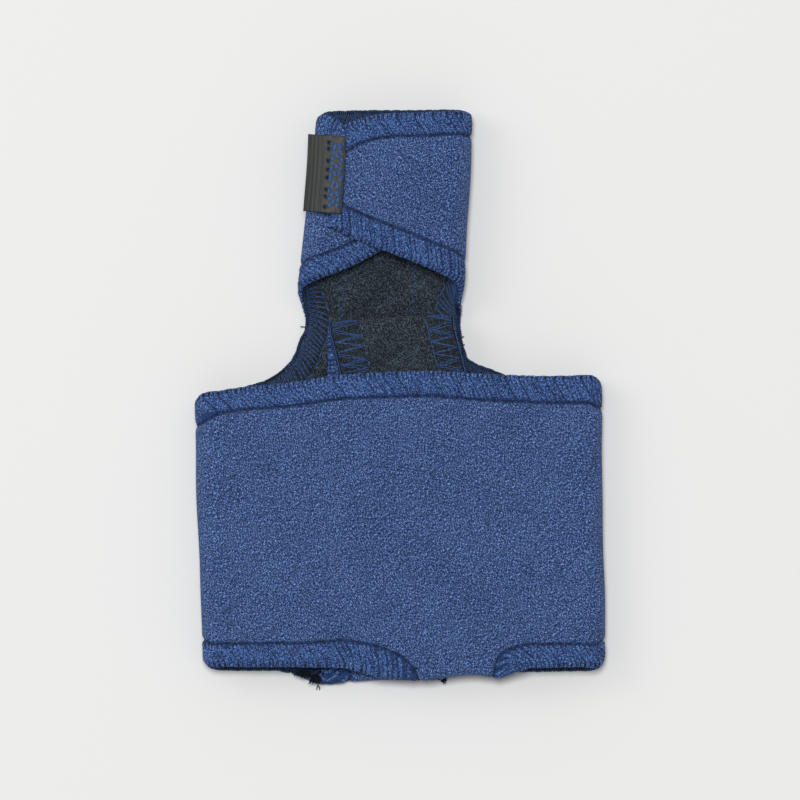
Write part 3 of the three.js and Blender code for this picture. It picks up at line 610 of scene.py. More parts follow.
class Sheet:
    """A sheet made of grids. Its solid has two skins and a rounded rim."""

    RIM_STEPS = 5
    RIM_BULGE = 0.8  # how far the rim stands out, in shares of half the thickness
    COLUMNS = ("middle", "normal", "over", "under", "flat", "mark")
    SKINS_APART = 40 * MM  # between the two skins' patterns

    def __init__(self):
        self.columns = {name: [] for name in self.COLUMNS}
        self.cells = []
        self.count = 0

    def add(self, place, x, y, over, under, mark, shared=None, closed=False):
        """Adds a grid of columns by rows. shared gives the numbers of its last row, if it has them."""
        numbers = np.full(x.shape, -1)
        own = np.ones(x.shape, bool)
        if shared is not None:
            numbers[:, -1] = shared
            own[:, -1] = False
        numbers[own] = self.count + np.arange(own.sum())
        self.count += int(own.sum())
        values = (*place, over, under, vectors(x, y, 0), mark)
        for column, value in zip(self.columns.values(), values):
            column.append(value[own])
        ring = np.concatenate([numbers, numbers[:1]]) if closed else numbers
        corners = ring[:-1, :-1], ring[1:, :-1], ring[1:, 1:], ring[:-1, 1:]
        self.cells.append(np.stack(corners, axis=-1).reshape(-1, 4))
        return numbers

    def add_laminate(self, place, x, y, distance, **more):
        """Adds a grid of laminate, at its distances from the nearest sewn edge."""
        half = thickness_at(distance) / 2
        return self.add(place, x, y, half, half, distance / MM, **more)

    def build(self, name, materials, mark="depth"):
        """Makes the object, with a material for each skin and the rim."""
        middle, normal, over, under, flat, marks = (np.concatenate(v) for v in self.columns.values())
        cells, count = np.concatenate(self.cells), self.count
        edges = np.concatenate([pairs(cells[:, k], cells[:, (k + 1) % 4]) for k in range(4)])
        forth, back = edges[:, 0] * count + edges[:, 1], edges[:, 1] * count + edges[:, 0]
        rim = edges[~np.isin(forth, back)]
        tangent = np.zeros((count, 3))
        step = unit(middle[rim[:, 1]] - middle[rim[:, 0]])
        for k in (0, 1):
            np.add.at(tangent, rim[:, k], step)
        onto = np.unique(rim)
        outward = unit(np.cross(normal[onto], tangent[onto]))
        place_of = np.full(count, -1)
        place_of[onto] = np.arange(len(onto))
        centre = middle[onto] + normal[onto] * ((over - under)[onto, None] / 2)
        half = (over + under)[onto, None] / 2
        angles = np.linspace(np.pi / 2, -np.pi / 2, self.RIM_STEPS + 1)[1:-1]
        lifts = (normal[onto] * np.sin(a) + self.RIM_BULGE * outward * np.cos(a) for a in angles)
        rings = [centre + half * lift for lift in lifts]
        skins = [middle + normal * over[:, None], middle - normal * under[:, None]]
        vertices = np.concatenate([*skins, *rings])
        offsets = [2 * count + k * len(onto) for k in range(len(rings))]
        start, end = (
            [ends, *(offset + place_of[ends] for offset in offsets), ends + count] for ends in rim.T
        )
        strips = [
            np.stack([start[k], end[k], end[k + 1], start[k + 1]], axis=1) for k in range(self.RIM_STEPS)
        ]
        faces = np.concatenate([cells[:, ::-1], cells + count, *strips])
        kinds = np.repeat([0, 1, 2], [len(cells), len(cells), sum(map(len, strips))])
        kinds = np.minimum(kinds, len(materials) - 1)
        made = new_object(name, ease(vertices), faces.tolist(), materials, kinds)
        under_flat = flat + [0, 0, self.SKINS_APART]
        flats = np.concatenate([flat, under_flat, *[flat[onto]] * len(rings)]) / MM
        add_attribute(made, "flat", "FLOAT_VECTOR", flats)
        add_attribute(made, mark, "FLOAT", np.concatenate([marks, marks, *[marks[onto]] * len(rings)]))
        return made


def graded(length, coarse):
    """Shares of a length, with small steps in the border at each end."""
    edge = np.arange(0, FINE_REACH, FINE)
    steps = max(int((length - 2 * FINE_REACH) / coarse), 2)
    inside = np.linspace(FINE_REACH, length - FINE_REACH, steps)
    return np.concatenate([edge, inside, (length - edge)[::-1]]) / length


def build_band(materials):
    sheet = Sheet()
    run = np.linspace(HALF_ROUND, -HALF_ROUND, int(2 * HALF_ROUND / COARSE), endpoint=False)
    runs, shares = grid(run, graded(BAND_LENGTH, COARSE))
    y = heel_edge(runs) + (toe_edge(runs) - heel_edge(runs)) * shares
    from_back = edge_distance(BACK_OUTLINES, around(runs) - NECK_SHIFT, y)
    distance = np.minimum(edge_distance(FRONT_OUTLINES, runs, y), from_back)
    sheet.add_laminate(band_place(runs, y), runs, y, distance, closed=True)
    return sheet.build("foot_band_laminate", materials)


def build_toe_strap(materials):
    """The wings and what joins them in one grid, and the neck in a second that ends in the first."""
    sheet = Sheet()
    left, right = (
        np.concatenate([samples(0, wing.rim, LOOP_STEP), samples(wing.rim, wing.tip, LOOP_STEP)[1:]])
        for wing in WINGS.values()
    )
    run = np.concatenate([-left[:0:-1], right])
    wing_width = 0.8 * LOOP_LENGTH  # at its mean
    runs, shares = grid(run, graded(wing_width, LOOP_STEP))
    low, high = (
        np.where(run < 0, WINGS[LEFT].edge(-run, column), WINGS[RIGHT].edge(run, column))[:, None]
        for column in ("low", "high")
    )
    y = low + (high - low) * shares
    loop = sheet.add_laminate(loop_place(runs, y), runs, y, edge_distance(BACK_OUTLINES, runs, y))
    rounding = 1e-9
    inside = (run >= -WINGS[LEFT].rim - rounding) & (run <= WINGS[RIGHT].rim + rounding)
    runs, rises = grid(run[inside], np.linspace(NECK_JOIN, WING_ROOT, int(NECK_LENGTH / FINE)))
    rims = (neck_rim(rises, side) / wing.rim for side, wing in WINGS.items())
    x = runs * np.where(runs < 0, *rims)
    distance = edge_distance(BACK_OUTLINES, x, rises)
    sheet.add_laminate(loop_place(x, rises), x, rises, distance, shared=loop[inside, 0])
    return sheet.build("toe_strap_laminate", materials)


def build_heel_strap(materials):
    """One grid along the strap's route, with small steps in its bends and its fold."""
    sheet = Sheet()
    share = graded(STRAP_WIDTH, coarse=0.7 * MM) * 2 - 1
    down = [np.zeros(1)]
    for stage, (start, end) in enumerate(zip(STRAP_STAGES, STRAP_STAGES[1:])):
        bends = stage % 2 == 0
        step = FINE if bends else COARSE
        down.append(np.linspace(start, end, int((end - start) / step) + 2)[1:])
    shares, downs = grid(share, np.concatenate(down))
    x = shares * strap_rim(downs, shares)
    front = edge_distance(FRONT_OUTLINES, x + STRAP_FRONT_SHIFT, HEEL_EDGE - downs)
    back_x, back_y = x + STRAP_BACK_SHIFT - NECK_SHIFT, BACK_HEEL_EDGE - (STRAP_LENGTH - downs)
    distance = np.where(downs < STRAP_LENGTH / 2, front, edge_distance(BACK_OUTLINES, back_x, back_y))
    pattern_x = x + 60 * MM  # keeps its pattern apart from the band's
    sheet.add_laminate(strap_place(x, downs), pattern_x, downs, distance)
    return sheet.build("heel_strap_laminate", materials)


# Thread


class Threads:
    """Threads gathered into one mesh of tubes."""

    STRANDS_APART = 7.31  # between the patterns of two strands, in millimetres

    def __init__(self, seed):
        self.random = np.random.default_rng(seed)
        self.vertices, self.faces, self.kinds, self.marks = [], [], [], []
        self.count = 0

    def uneven(self, shape, amount):
        """Random numbers up to an amount, above or below 0."""
        return amount * self.random.uniform(-1, 1, shape)

    def add(self, paths, ups, radius, kind, sides=6, flatness=0.8):
        """Adds strands of points, with the way up at each point. kind is the number of the material."""
        along = unit(np.gradient(paths, axis=1))
        aside = unit(np.cross(along, ups))
        up = unit(np.cross(aside, along))
        angle = np.linspace(0, 2 * np.pi, sides, endpoint=False)[:, None]
        ring = np.cos(angle) * up[:, :, None] * flatness + np.sin(angle) * aside[:, :, None]
        strands, points = paths.shape[:2]
        radii = np.broadcast_to(radius, (strands, points))[..., None, None]
        vertices = paths[:, :, None] + ring * radii
        numbers = self.count + np.arange(strands * points * sides).reshape(strands, points, sides)
        turned = np.roll(numbers, -1, axis=2)
        corners = numbers[:, :-1], turned[:, :-1], turned[:, 1:], numbers[:, 1:]
        walls = np.stack(corners, axis=-1).reshape(-1, 4).tolist()
        walls += numbers[:, 0, ::-1].tolist() + numbers[:, -1].tolist()
        lengths = np.linalg.norm(np.diff(paths, axis=1), axis=2)
        run = np.append(np.zeros((strands, 1)), np.cumsum(lengths, axis=1), axis=1) / MM
        number = (len(self.kinds) + np.arange(strands)) * self.STRANDS_APART
        # The third mark is how far each side of a tube faces up; the bulked thread's material paints shade
        # from it on the wraps' sides
        marks = vectors(run[..., None], number[:, None, None], np.cos(angle[:, 0]))
        self.vertices.append(vertices.reshape(-1, 3))
        self.marks.append(marks.reshape(-1, 3))
        self.faces += walls
        self.kinds += [kind] * len(walls)
        self.count += strands * points * sides

    def build(self, name, materials):
        made = new_object(name, np.concatenate(self.vertices), self.faces, materials, self.kinds)
        add_attribute(made, "thread", "FLOAT_VECTOR", np.concatenate(self.marks))
        return made


BULKED, FINE_THREAD = 0, 1  # numbers of the thread materials
TERRY_SIDE, LINING_SIDE = 1, -1
WRAP_POINTS, RUNG_POINTS, LEG_POINTS = 9, 13, 15  # along each stitch, on the hem
WRAP_FLATNESS = 0.4  # height of a wrap by its width
DOUBLE_APART = 0.35 * MM  # between the two threads of a rung
NEEDLE_STITCH = 2.4 * MM  # of the needle line along the border


def on_hem(outline, run, depth, side, height):
    """Points over a border on one side of the laminate, and the way up from it."""
    run, depth, height = np.broadcast_arrays(run, depth, height)
    middle, normal = outline.sheet(*outline.at(run, depth))
    lift = side * (thickness_at(np.maximum(depth, outline.trim(run))) / 2 + height)
    return ease(middle + normal * lift[..., None]), normal * side


def round_rim(outline, run, angle, height):
    """Points round the cut edge, at an angle from the outer skin (+90 degrees) to the lining (-90)."""
    run, angle = np.broadcast_arrays(run, angle)
    trim = outline.trim(run)
    middle, normal = outline.sheet(*outline.at(run, trim))
    inside = trim + 0.3 * MM  # near enough to give the way out
    inner, _ = outline.sheet(*outline.at(run, inside))
    outward = unit(middle - inner)
    half = (thickness_at(np.maximum(trim, 0)) / 2 + height)[..., None]
    up = normal * np.sin(angle)[..., None] + outward * np.cos(angle)[..., None]
    lift = normal * np.sin(angle)[..., None] + Sheet.RIM_BULGE * outward * np.cos(angle)[..., None]
    return ease(middle + lift * half), up


def strung(*parts):
    """Joins parts of the same strands end to end."""
    return tuple(np.concatenate(values, axis=1) for values in zip(*parts))


def add_wraps(threads, outline, sewn):
    """Bulked thread of each stitch: from the needle line down the terry and round the cut edge."""
    shift = outline.hand * sewn.slant
    start = np.arange(outline.start, outline.end, sewn.pitch)[:, None] - shift / 2
    start = start + threads.uneven(start.shape, 0.16 * sewn.pitch)
    share = np.linspace(0, 1, WRAP_POINTS)
    run = start + shift * share + threads.uneven((len(start), WRAP_POINTS), 0.1 * sewn.pitch)
    run = np.clip(run, 0, outline.length)
    edge = outline.trim(run) + EDGE_ROUND / 4
    needle = BORDER - 0.3 * MM
    down = needle + (edge - needle) * share
    round_edge = np.radians([60, 25, -10])
    rim_run = start + shift + 0.1 * sewn.pitch * np.arange(len(round_edge))
    height = threads.uneven((len(start), 1), 0.08 * sewn.bulk) + threads.uneven(run.shape, 0.06 * sewn.bulk)
    height[:, 0] -= 0.3 * sewn.bulk
    paths, ups = strung(
        on_hem(outline, run, down, TERRY_SIDE, height),
        round_rim(outline, np.clip(rim_run, 0, outline.length), round_edge, 0),
    )
    radius = sewn.bulk * (1 + threads.uneven(paths.shape[:2], 0.2))
    radius[:, WRAP_POINTS:] *= 0.9
    radius[:, 0] *= 0.6
    radius[:, -1] *= 0.5
    threads.add(paths, ups, radius, BULKED, sides=8, flatness=WRAP_FLATNESS)


def add_legs(threads, outline, sewn, bounds):
    """Fine thread of each stitch: up the lining to the needle line and back, in a narrow V."""
    start = np.arange(*bounds, sewn.leg_pitch)[:, None]
    start = start + threads.uneven(start.shape, 0.12 * sewn.leg_pitch)
    share = 1 - np.abs(np.linspace(-1, 1, LEG_POINTS))
    lean = -outline.hand * sewn.leg_lean * share
    apart = np.linspace(0, 0.5 * sewn.leg_pitch, LEG_POINTS)
    apart = apart + threads.uneven((len(start), 1), 0.1 * sewn.leg_pitch)
    run = np.clip(start + lean + apart, 0, outline.length)
    edge = outline.trim(run) + 0.3 * MM
    round_edge = np.radians([-5, -50])
    paths, ups = strung(
        round_rim(outline, run[:, :1], round_edge, 0),
        on_hem(outline, run, edge + (BORDER - edge) * share, LINING_SIDE, 0.3 * sewn.fine),
        round_rim(outline, run[:, -1:], round_edge[::-1], 0),
    )
    threads.add(paths, ups, 0.8 * sewn.fine, FINE_THREAD, sides=5)


def add_rungs(threads, outline, sewn, bounds):
    """Wide V stitches of two threads on the strap's lining, from its rim to the needle line and back."""
    share = 1 - np.abs(np.linspace(-1, 1, RUNG_POINTS))
    for apart in (0, DOUBLE_APART):
        start = np.arange(*bounds, sewn.rung_pitch)[:, None] + apart
        start = start + threads.uneven(start.shape, 0.08 * sewn.rung_pitch)
        ahead = np.linspace(0, 0.92, RUNG_POINTS) + threads.uneven((len(start), 1), 0.08)
        run = start + sewn.rung_pitch * ahead
        run = np.clip(run + threads.uneven(run.shape, 0.15 * MM), 0, outline.length)
        edge = outline.trim(run) + 0.2 * MM
        paths, ups = on_hem(outline, run, edge + (BORDER - edge) * share, LINING_SIDE, 0.5 * sewn.fine)
        threads.add(paths, ups, sewn.fine, FINE_THREAD, sides=5)


def add_needle_line(threads, outline, side, radius, bounds, sunk):
    """Needle thread along the border, dipping into the laminate at each stitch."""
    run = samples(*bounds)[None]
    dip = 0.9 * radius * (1 - 2 * np.abs(np.sin(np.pi * run / NEEDLE_STITCH))) + sunk
    paths, ups = on_hem(outline, run, BORDER + threads.uneven(run.shape, 0.25 * radius), side, -dip)
    threads.add(paths, ups, radius, FINE_THREAD, sides=5)


def add_rim_line(threads, outline, radius, bounds, angle, sway=0):
    """Looper thread along the cut edge, which may sway round it and under the wraps."""
    run = samples(*bounds)[None]
    angles = np.radians(angle + sway * np.sin(run / (0.55 * MM) + 2 * np.sin(run / (2.9 * MM))))
    threads.add(*round_rim(outline, run, angles, radius), radius, FINE_THREAD, sides=5)


def sew(name, outlines, sewn, strap=False):
    """Overlocks outlines. On the strap the lining side has wide rungs between two rails."""
    threads = Threads(seed=len(name))
    for outline in outlines:
        ends = (outline.start, outline.end)
        strap_from = outline.end - STRAP_LENGTH / 2 if strap else outline.end
        add_wraps(threads, outline, sewn)
        add_legs(threads, outline, sewn, (outline.start, strap_from))
        add_needle_line(threads, outline, TERRY_SIDE, sewn.fine, ends, 1.1 * sewn.fine)
        add_needle_line(threads, outline, LINING_SIDE, sewn.fine * 1.2, ends, 0)
        add_rim_line(threads, outline, 0.8 * sewn.fine, ends, 25, 30)
        if strap:
            add_rungs(threads, outline, sewn, (strap_from, outline.end))
            add_rim_line(threads, outline, sewn.fine, (strap_from, outline.end), -60)
    return threads.build(name, thread_materials())


ZIGZAGS = {"neck_left": (-10.4 * MM, 5 * MM), "neck_right": (8 * MM, 4.6 * MM)}  # across, pitch
ZIGZAG_ENDS = NECK_JOIN + 6 * MM, WING_ROOT + 22 * MM


def between(values, share):
    """Rows of values on the way from each value to the next."""
    return values[:-1, None] + np.diff(values)[:, None] * share


def add_neck_zigzag(threads, across, pitch, sewn):
    """Zigzag seam on the neck's lining, up into the loop and down under the strap's fold."""
    turns = np.arange(*ZIGZAG_ENDS, pitch / 2)
    sides = np.where(np.arange(len(turns)) % 2, RIGHT, LEFT) * sewn.zigzag / 2
    share = np.linspace(0, 1, 6)
    x = across + between(sides, share)
    y = between(turns, share)
    middle, normal = back_sheet(x, y)
    lift = LAMINATE / 2 + sewn.fine * (0.1 - 1.6 * np.abs(2 * share - 1) ** 2)
    threads.add(ease(middle - normal * lift[:, None]), -normal, sewn.fine, FINE_THREAD, sides=5)


# Hook tab

OUTER_WING_TOP = BACK_LEVEL + 2 * WINGS[RIGHT].radius + LAMINATE / 2
TAB_SINK = 0.15 * MM  # how far the tape is pressed into the terry
# Needle holes near the edge line, and the burr that the needle raised beside each
HOLE_INSET, HOLE_RADIUS, HOLE_DEPTH = 0.35 * MM, 0.42 * MM, 0.55 * MM
BURR_INSET, BURR_BESIDE, BURR_HEIGHT = 0.15 * MM, 0.62 * MM, 0.16 * MM
BURR_WIDTH, BURR_LENGTH = 0.6 * MM, 0.3 * MM
EDGE_DROOP, EDGE_DROOP_WIDTH = 0.35 * MM, 0.8 * MM  # where the stitches pull the sewn edge down
SCUFF_HEIGHT = 0.05 * MM  # of what the needle has roughened
HOOK_RADIUS, HOOK_MARGIN = 0.11 * MM, 0.6 * MM


class Tab:
    """The hook tab's chart: across from its sewn edge line (free part negative) and along its length."""

    def __init__(self, tab):
        self.tab = tab
        self.half = tab.length / 2
        turn = tab.turn
        middle = (TAB_LOW[1] + TAB_HIGH[1]) / 2
        reach = tab.sewn * math.cos(turn) + self.half * abs(math.sin(turn))
        self.origin = (TAB_HIGH[0] - reach, middle, OUTER_WING_TOP + tab.plate / 2 - TAB_SINK)

    def place(self, u, v):
        """Place on the tape's middle surface, and the way up."""
        radius = self.tab.free / self.tab.droop
        bend = np.clip(-u / radius, 0, None)
        x = np.where(u < 0, -radius * np.sin(bend), u)
        z = -radius * (1 - np.cos(bend))
        turn_cos, turn_sin = math.cos(self.tab.turn), math.sin(self.tab.turn)
        normal_x, normal_z = -np.sin(bend), np.cos(bend)
        middle = vectors(x * turn_cos - v * turn_sin, x * turn_sin + v * turn_cos, z) + self.origin
        return middle, vectors(normal_x * turn_cos, normal_x * turn_sin, normal_z)


def build_tab(tab, materials):
    """Plate of the tab: streaked ribs along its free part, dimpled needle holes in its sewn part."""
    chart, sheet = Tab(tab), Sheet()
    u, v = grid(samples(-tab.free, tab.sewn, 0.17 * MM), samples(-chart.half, chart.half, 0.25 * MM))
    ribs = 0.5 + 0.5 * np.cos(2 * np.pi * tab.ribs * u / tab.free)
    raised = tab.rib_height * ribs * smoothstep(-u, 0.3 * MM, 1 * MM)
    scuff = np.sin(u / (0.21 * MM) + np.sin(v / (2.3 * MM))) * np.sin(v / (0.9 * MM))
    raised += SCUFF_HEIGHT * scuff * (u > 0)
    hole = 0 * u
    for at in needle_rows(tab):
        away = np.hypot(u - HOLE_INSET, v - at)
        hole = np.maximum(hole, np.exp(-((away / HOLE_RADIUS) ** 2)))
        beside = ((v - at - BURR_BESIDE) / BURR_LENGTH) ** 2
        raised += BURR_HEIGHT * np.exp(-beside - ((u - BURR_INSET) / BURR_WIDTH) ** 2)
    raised -= HOLE_DEPTH * hole
    droop = EDGE_DROOP * smoothstep(u, tab.sewn - EDGE_DROOP_WIDTH, tab.sewn)
    sheet.add(chart.place(u, v), u, v, tab.plate / 2 + raised - droop, tab.plate / 2 - droop, hole)
    return sheet.build("hook_tape_tab", materials, mark="hole")


def needle_rows(tab):
    """Places along the tab where the zigzag's needle went in, a little uneven."""
    count = int(tab.length / tab.stitch)
    at = (np.arange(count) - (count - 1) / 2) * tab.stitch
    return at + 0.4 * MM * np.sin(np.arange(count) * 2.4)


def build_tab_stitches(tab, sewn, materials):
    """Two passes of zigzag that cross each other and hold the tab to the wing."""
    chart, threads = Tab(tab), Threads(seed=8)
    share = np.linspace(0, 1, 9)
    rows = needle_rows(tab)
    for number, start_right in enumerate((False, True)):
        right = tab.sewn - (0.15 + 0.3 * number) * MM
        sides = np.where(np.arange(len(rows)) % 2 == start_right, 0.5 * MM, right)
        for ply in (-1, 0, 1):
            u = between(sides, share)
            bow = 0.15 * MM * np.sin(np.pi * share) * threads.uneven((len(u), 1), 1)
            v = between(rows, share) + 1.7 * sewn.fine * ply + bow
            middle, normal = chart.place(u, v)
            dive = 0.5 * MM * np.abs(2 * share - 1) ** 8
            height = tab.plate / 2 + sewn.fine * (1.2 + number) - dive
            paths = ease(middle + normal * height[:, None])
            threads.add(paths, normal, 1.2 * sewn.fine, FINE_THREAD, sides=6)
    return threads.build("tab_zigzag", materials)


def build_hooks(tab, materials):
    """Rows of small hooks under the tab's free part."""
    chart, threads = Tab(tab), Threads(seed=9)
    u, v = grid(
        np.arange(-tab.free + HOOK_MARGIN, -HOOK_MARGIN / 2, tab.hook_pitch),
        np.arange(-chart.half + HOOK_MARGIN, chart.half - 0.5 * MM, tab.hook_pitch),
    )
    middle, normal = (value.reshape(-1, 1, 3) for value in chart.place(u, v))
    turn = np.linspace(0, 0.85 * np.pi, 6)[:, None]
    bow = tab.hook_height / 3
    drop = np.concatenate([[[0.0]], tab.hook_height - bow + bow * np.sin(turn)])
    lean = np.concatenate([[[0.0]], bow * (1 - np.cos(turn))])
    along = np.array([-math.sin(tab.turn), math.cos(tab.turn), 0])
    paths = middle - normal * (tab.plate / 2 - 0.1 * MM + drop) + along * lean
    threads.add(ease(paths), np.broadcast_to((1.0, 0, 0), paths.shape), HOOK_RADIUS, 0, sides=5)
    return threads.build("tape_hooks", materials)


# Loose ends of thread, each from a start to an end, and patches of lint, each with a middle, its reach
# and a number of fibres. Places are millimetres in the part's own frame.
LOOSE_ENDS = {
    "left_tail": ((-21.3, -72.6, 3.2), (-21.25, -75.1, 0.6)),
    "left_tail_fork": ((-21.1, -74.1, 1.8), (-20.45, -75.1, 0.8)),
    "neck_left_end": ((-24.1, 17.7, 1.6), (-25.4, 17.9, 2)),
    "neck_right_end": ((14.9, 14.8, 1.6), (16.4, 15.4, 2)),
    "neck_right_second": ((15.2, 13.0, 1.6), (16.6, 13.3, 1.8)),
}
LINT = {
    "left_corner": ((-21.7, -72.2, 4.5), (1.7, 1.1, 0.8), 170),
    "left_flare": ((-24.9, -70.9, 5.0), (2.4, 0.6, 0.6), 90),
    "right_corner": ((10.9, -72.6, 2.4), (0.7, 0.45, 0.5), 30),
}


def build_loose_ends(sewn, materials):
    """Cut ends of the overlock chain that stick out of the hems, and lint at the strap's corners."""
    threads = Threads(seed=4)
    share = np.linspace(0, 1, 8)[:, None]
    for start, end in LOOSE_ENDS.values():
        start, end = np.array(start) * MM, np.array(end) * MM
        sway = vectors(np.sin(share[:, 0] * 5), 0, np.cos(share[:, 0] * 4) - 1) * 0.2 * MM
        path = (start + (end - start) * share + sway)[None]
        threads.add(path, np.broadcast_to((0, 0, 1.0), path.shape), sewn.fine * 1.1, 0, sides=6)
    for middle, reach, count in LINT.values():
        from_middle = unit(threads.random.normal(size=(count, 1, 3))) * reach
        curl = np.cumsum(threads.random.normal(size=(count, len(share), 3)), axis=1) * 0.14
        share_out = 0.6 + threads.uneven((count, 1, 1), 0.4)
        paths = (np.array(middle) + from_middle * share_out) * MM + curl * MM
        threads.add(paths, np.broadcast_to((0, 0, 1.0), paths.shape), sewn.fine * 0.8, 0, sides=4)
    return threads.build("loose_thread_ends", materials)


# Materials


def add_node(tree, kind, sockets=(), **settings):
    """Adds a node, sets its properties, and fills or links its input sockets by name or number."""
    made = tree.nodes.new(kind)
    for name, value in settings.items():
        setattr(made, name, value)
    for name, value in dict(sockets).items():
        if isinstance(value, bpy.types.NodeSocket):
            tree.links.new(value, made.inputs[name])
        else:
            made.inputs[name].default_value = value
    return made


def new_material(name):
    material = bpy.data.materials.new(name)
    material.use_nodes = True
    material.node_tree.nodes.clear()
    return material, material.node_tree


def shared_material(fill):
    """The material that a function's nodes fill, named after it and made at its first use."""
    made = bpy.data.materials.get(fill.__name__)
    if made is None:
        made, tree = new_material(fill.__name__)
        fill(tree, settings().look)
    return made


def attribute(tree, name, output):
    return add_node(tree, "ShaderNodeAttribute", attribute_name=name).outputs[output]


def calculate(tree, operation, *values):
    """A maths node's result. The values are numbers or sockets."""
    return add_node(tree, "ShaderNodeMath", dict(enumerate(values)), operation=operation).outputs[0]


def remap(tree, value, low, high, to_low=0.0, to_high=1.0):
    """A value's place between low and high, carried over to another range."""
    sockets = {"Value": value, "From Min": low, "From Max": high, "To Min": to_low, "To Max": to_high}
    return add_node(tree, "ShaderNodeMapRange", sockets).outputs[0]


def noise(tree, vector, scale, **more):
    sockets = {"Vector": vector, "Scale": scale, **more}
    return add_node(tree, "ShaderNodeTexNoise", sockets).outputs["Fac"]


def blend(tree, factor, first, second):
    """Mixes two colours, each a socket or a value."""
    sockets = {0: factor, 6: first, 7: second}
    return add_node(tree, "ShaderNodeMix", sockets, data_type="RGBA").outputs[2]


def ramp(tree, factor, stops):
    """Colour ramp through (place, colour) stops."""
    made = add_node(tree, "ShaderNodeValToRGB", {"Fac": factor})
    elements = made.color_ramp.elements
    while len(elements) < len(stops):
        elements.new(0.5)
    for element, (place, colour) in zip(elements, stops):
        element.position, element.color = place, colour
    return made.outputs["Color"]


def finish_material(tree, colour, height, depth, surface):
    """Closes a material with a bump of a real depth and a Principled surface."""
    relief = add_node(tree, "ShaderNodeBump", {"Strength": 1.0, "Distance": depth, "Height": height})
    sockets = {"Base Color": colour, "Normal": relief.outputs[0], **surface}
    shader = add_node(tree, "ShaderNodeBsdfPrincipled", sockets)
    add_node(tree, "ShaderNodeOutputMaterial", {"Surface": shader.outputs[0]})


# In millimetres, as the flat attribute is
TUFT = 0.45  # between the tufts of the brushed loops
STITCH = 0.35  # between the lining's stitches
NEEDLE_AT = BORDER / MM

STROKE_ANGLES = math.radians(-44), math.radians(34)
HOLE_COLOUR = (0.002, 0.002, 0.002, 1)  # no light comes out of a needle hole


def tufts(tree, vector, tuft):
    """Short strokes that lie two ways, as brushed loops do: 0 in the gaps and 1 on lit loops."""
    strokes = []
    for angle in STROKE_ANGLES:
        sockets = {"Vector": vector, "Rotation": (0, 0, angle), "Scale": (1, 2.4, 1)}
        turned = add_node(tree, "ShaderNodeMapping", sockets, vector_type="TEXTURE").outputs[0]
        strokes.append(noise(tree, turned, 2 / tuft, Detail=1.0, Roughness=0.6, Distortion=0.1))
    patch = remap(tree, noise(tree, vector, 0.7 / tuft, Detail=1.0), 0.36, 0.54)
    mixed = add_node(tree, "ShaderNodeMix", {0: patch, 2: strokes[0], 3: strokes[1]}).outputs[0]
    return remap(tree, mixed, 0.4, 0.6)


def brushed_loop_terry(tree, look):
    """Brushed polyamide loop: short matt loops that catch light as pale specks over dark gaps."""
    flat, depth = attribute(tree, "flat", "Vector"), attribute(tree, "depth", "Fac")
    lit = tufts(tree, flat, TUFT)
    cloud = remap(tree, noise(tree, flat, 0.07, Detail=2.0), 0.3, 0.7, -0.06, 0.06)
    tone = calculate(tree, "ADD", lit, cloud)
    pile = ramp(tree, tone, ((0, look.pile_dark), (0.5, look.pile), (1, look.pile_light)))
    pressed = ramp(tree, tone, ((0, look.hem_dark), (1, look.hem)))
    border = remap(tree, depth, NEEDLE_AT - 0.2, NEEDLE_AT + 0.5, 1, 0)
    ground = blend(tree, border, pile, pressed)
    # Painted shade: a dark, broken line along the needle line, where the thread sinks into its groove
    off_needle = calculate(tree, "ABSOLUTE", calculate(tree, "SUBTRACT", depth, NEEDLE_AT))
    shade_dashes = remap(tree, noise(tree, flat, 0.75, Detail=0.0), 0.4, 0.6, 0.55, 1)
    groove_shade = calculate(tree, "MULTIPLY", remap(tree, off_needle, 0.2, 0.55, 1, 0), shade_dashes)
    colour = blend(tree, groove_shade, ground, look.hem_dark)
    matt = {"Roughness": 0.95, "IOR": 1.53, "Specular IOR Level": 0.15, "Sheen Weight": 0.08}
    finish_material(tree, colour, lit, 0.35 * MM, matt)


def fine_knit_lining(tree, look):
    """Smooth weft knit in black: fine even stitches that catch a little light, darker in the border."""
    flat, depth = attribute(tree, "flat", "Vector"), attribute(tree, "depth", "Fac")
    stitch = tufts(tree, flat, STITCH)
    cloud = remap(tree, noise(tree, flat, 0.12, Detail=2.0), 0.3, 0.7, -0.12, 0.12)
    shade = calculate(tree, "ADD", stitch, cloud)
    knit = ramp(tree, shade, ((0, look.lining_dark), (0.5, look.lining), (1, look.lining_light)))
    border = remap(tree, depth, NEEDLE_AT - 0.5, NEEDLE_AT + 0.3, 0.45, 0)
    colour = blend(tree, border, knit, look.lining_dark)
    smooth = {"Roughness": 0.85, "IOR": 1.5, "Specular IOR Level": 0.25, "Sheen Weight": 0.05}
    finish_material(tree, colour, stitch, 0.12 * MM, smooth)


def cut_foam_edge(tree, look):
    """Cut edge of the laminate: foam, lint and loops of terry between the wraps of thread."""
    lint = noise(tree, attribute(tree, "flat", "Vector"), 2.5, Detail=3.0)
    stops = (0.3, look.lining_dark), (0.5, look.lining), (0.65, look.hem_dark), (0.8, look.hem)
    rough = {"Roughness": 0.95, "Specular IOR Level": 0.15}
    finish_material(tree, ramp(tree, lint, stops), lint, 0.2 * MM, rough)


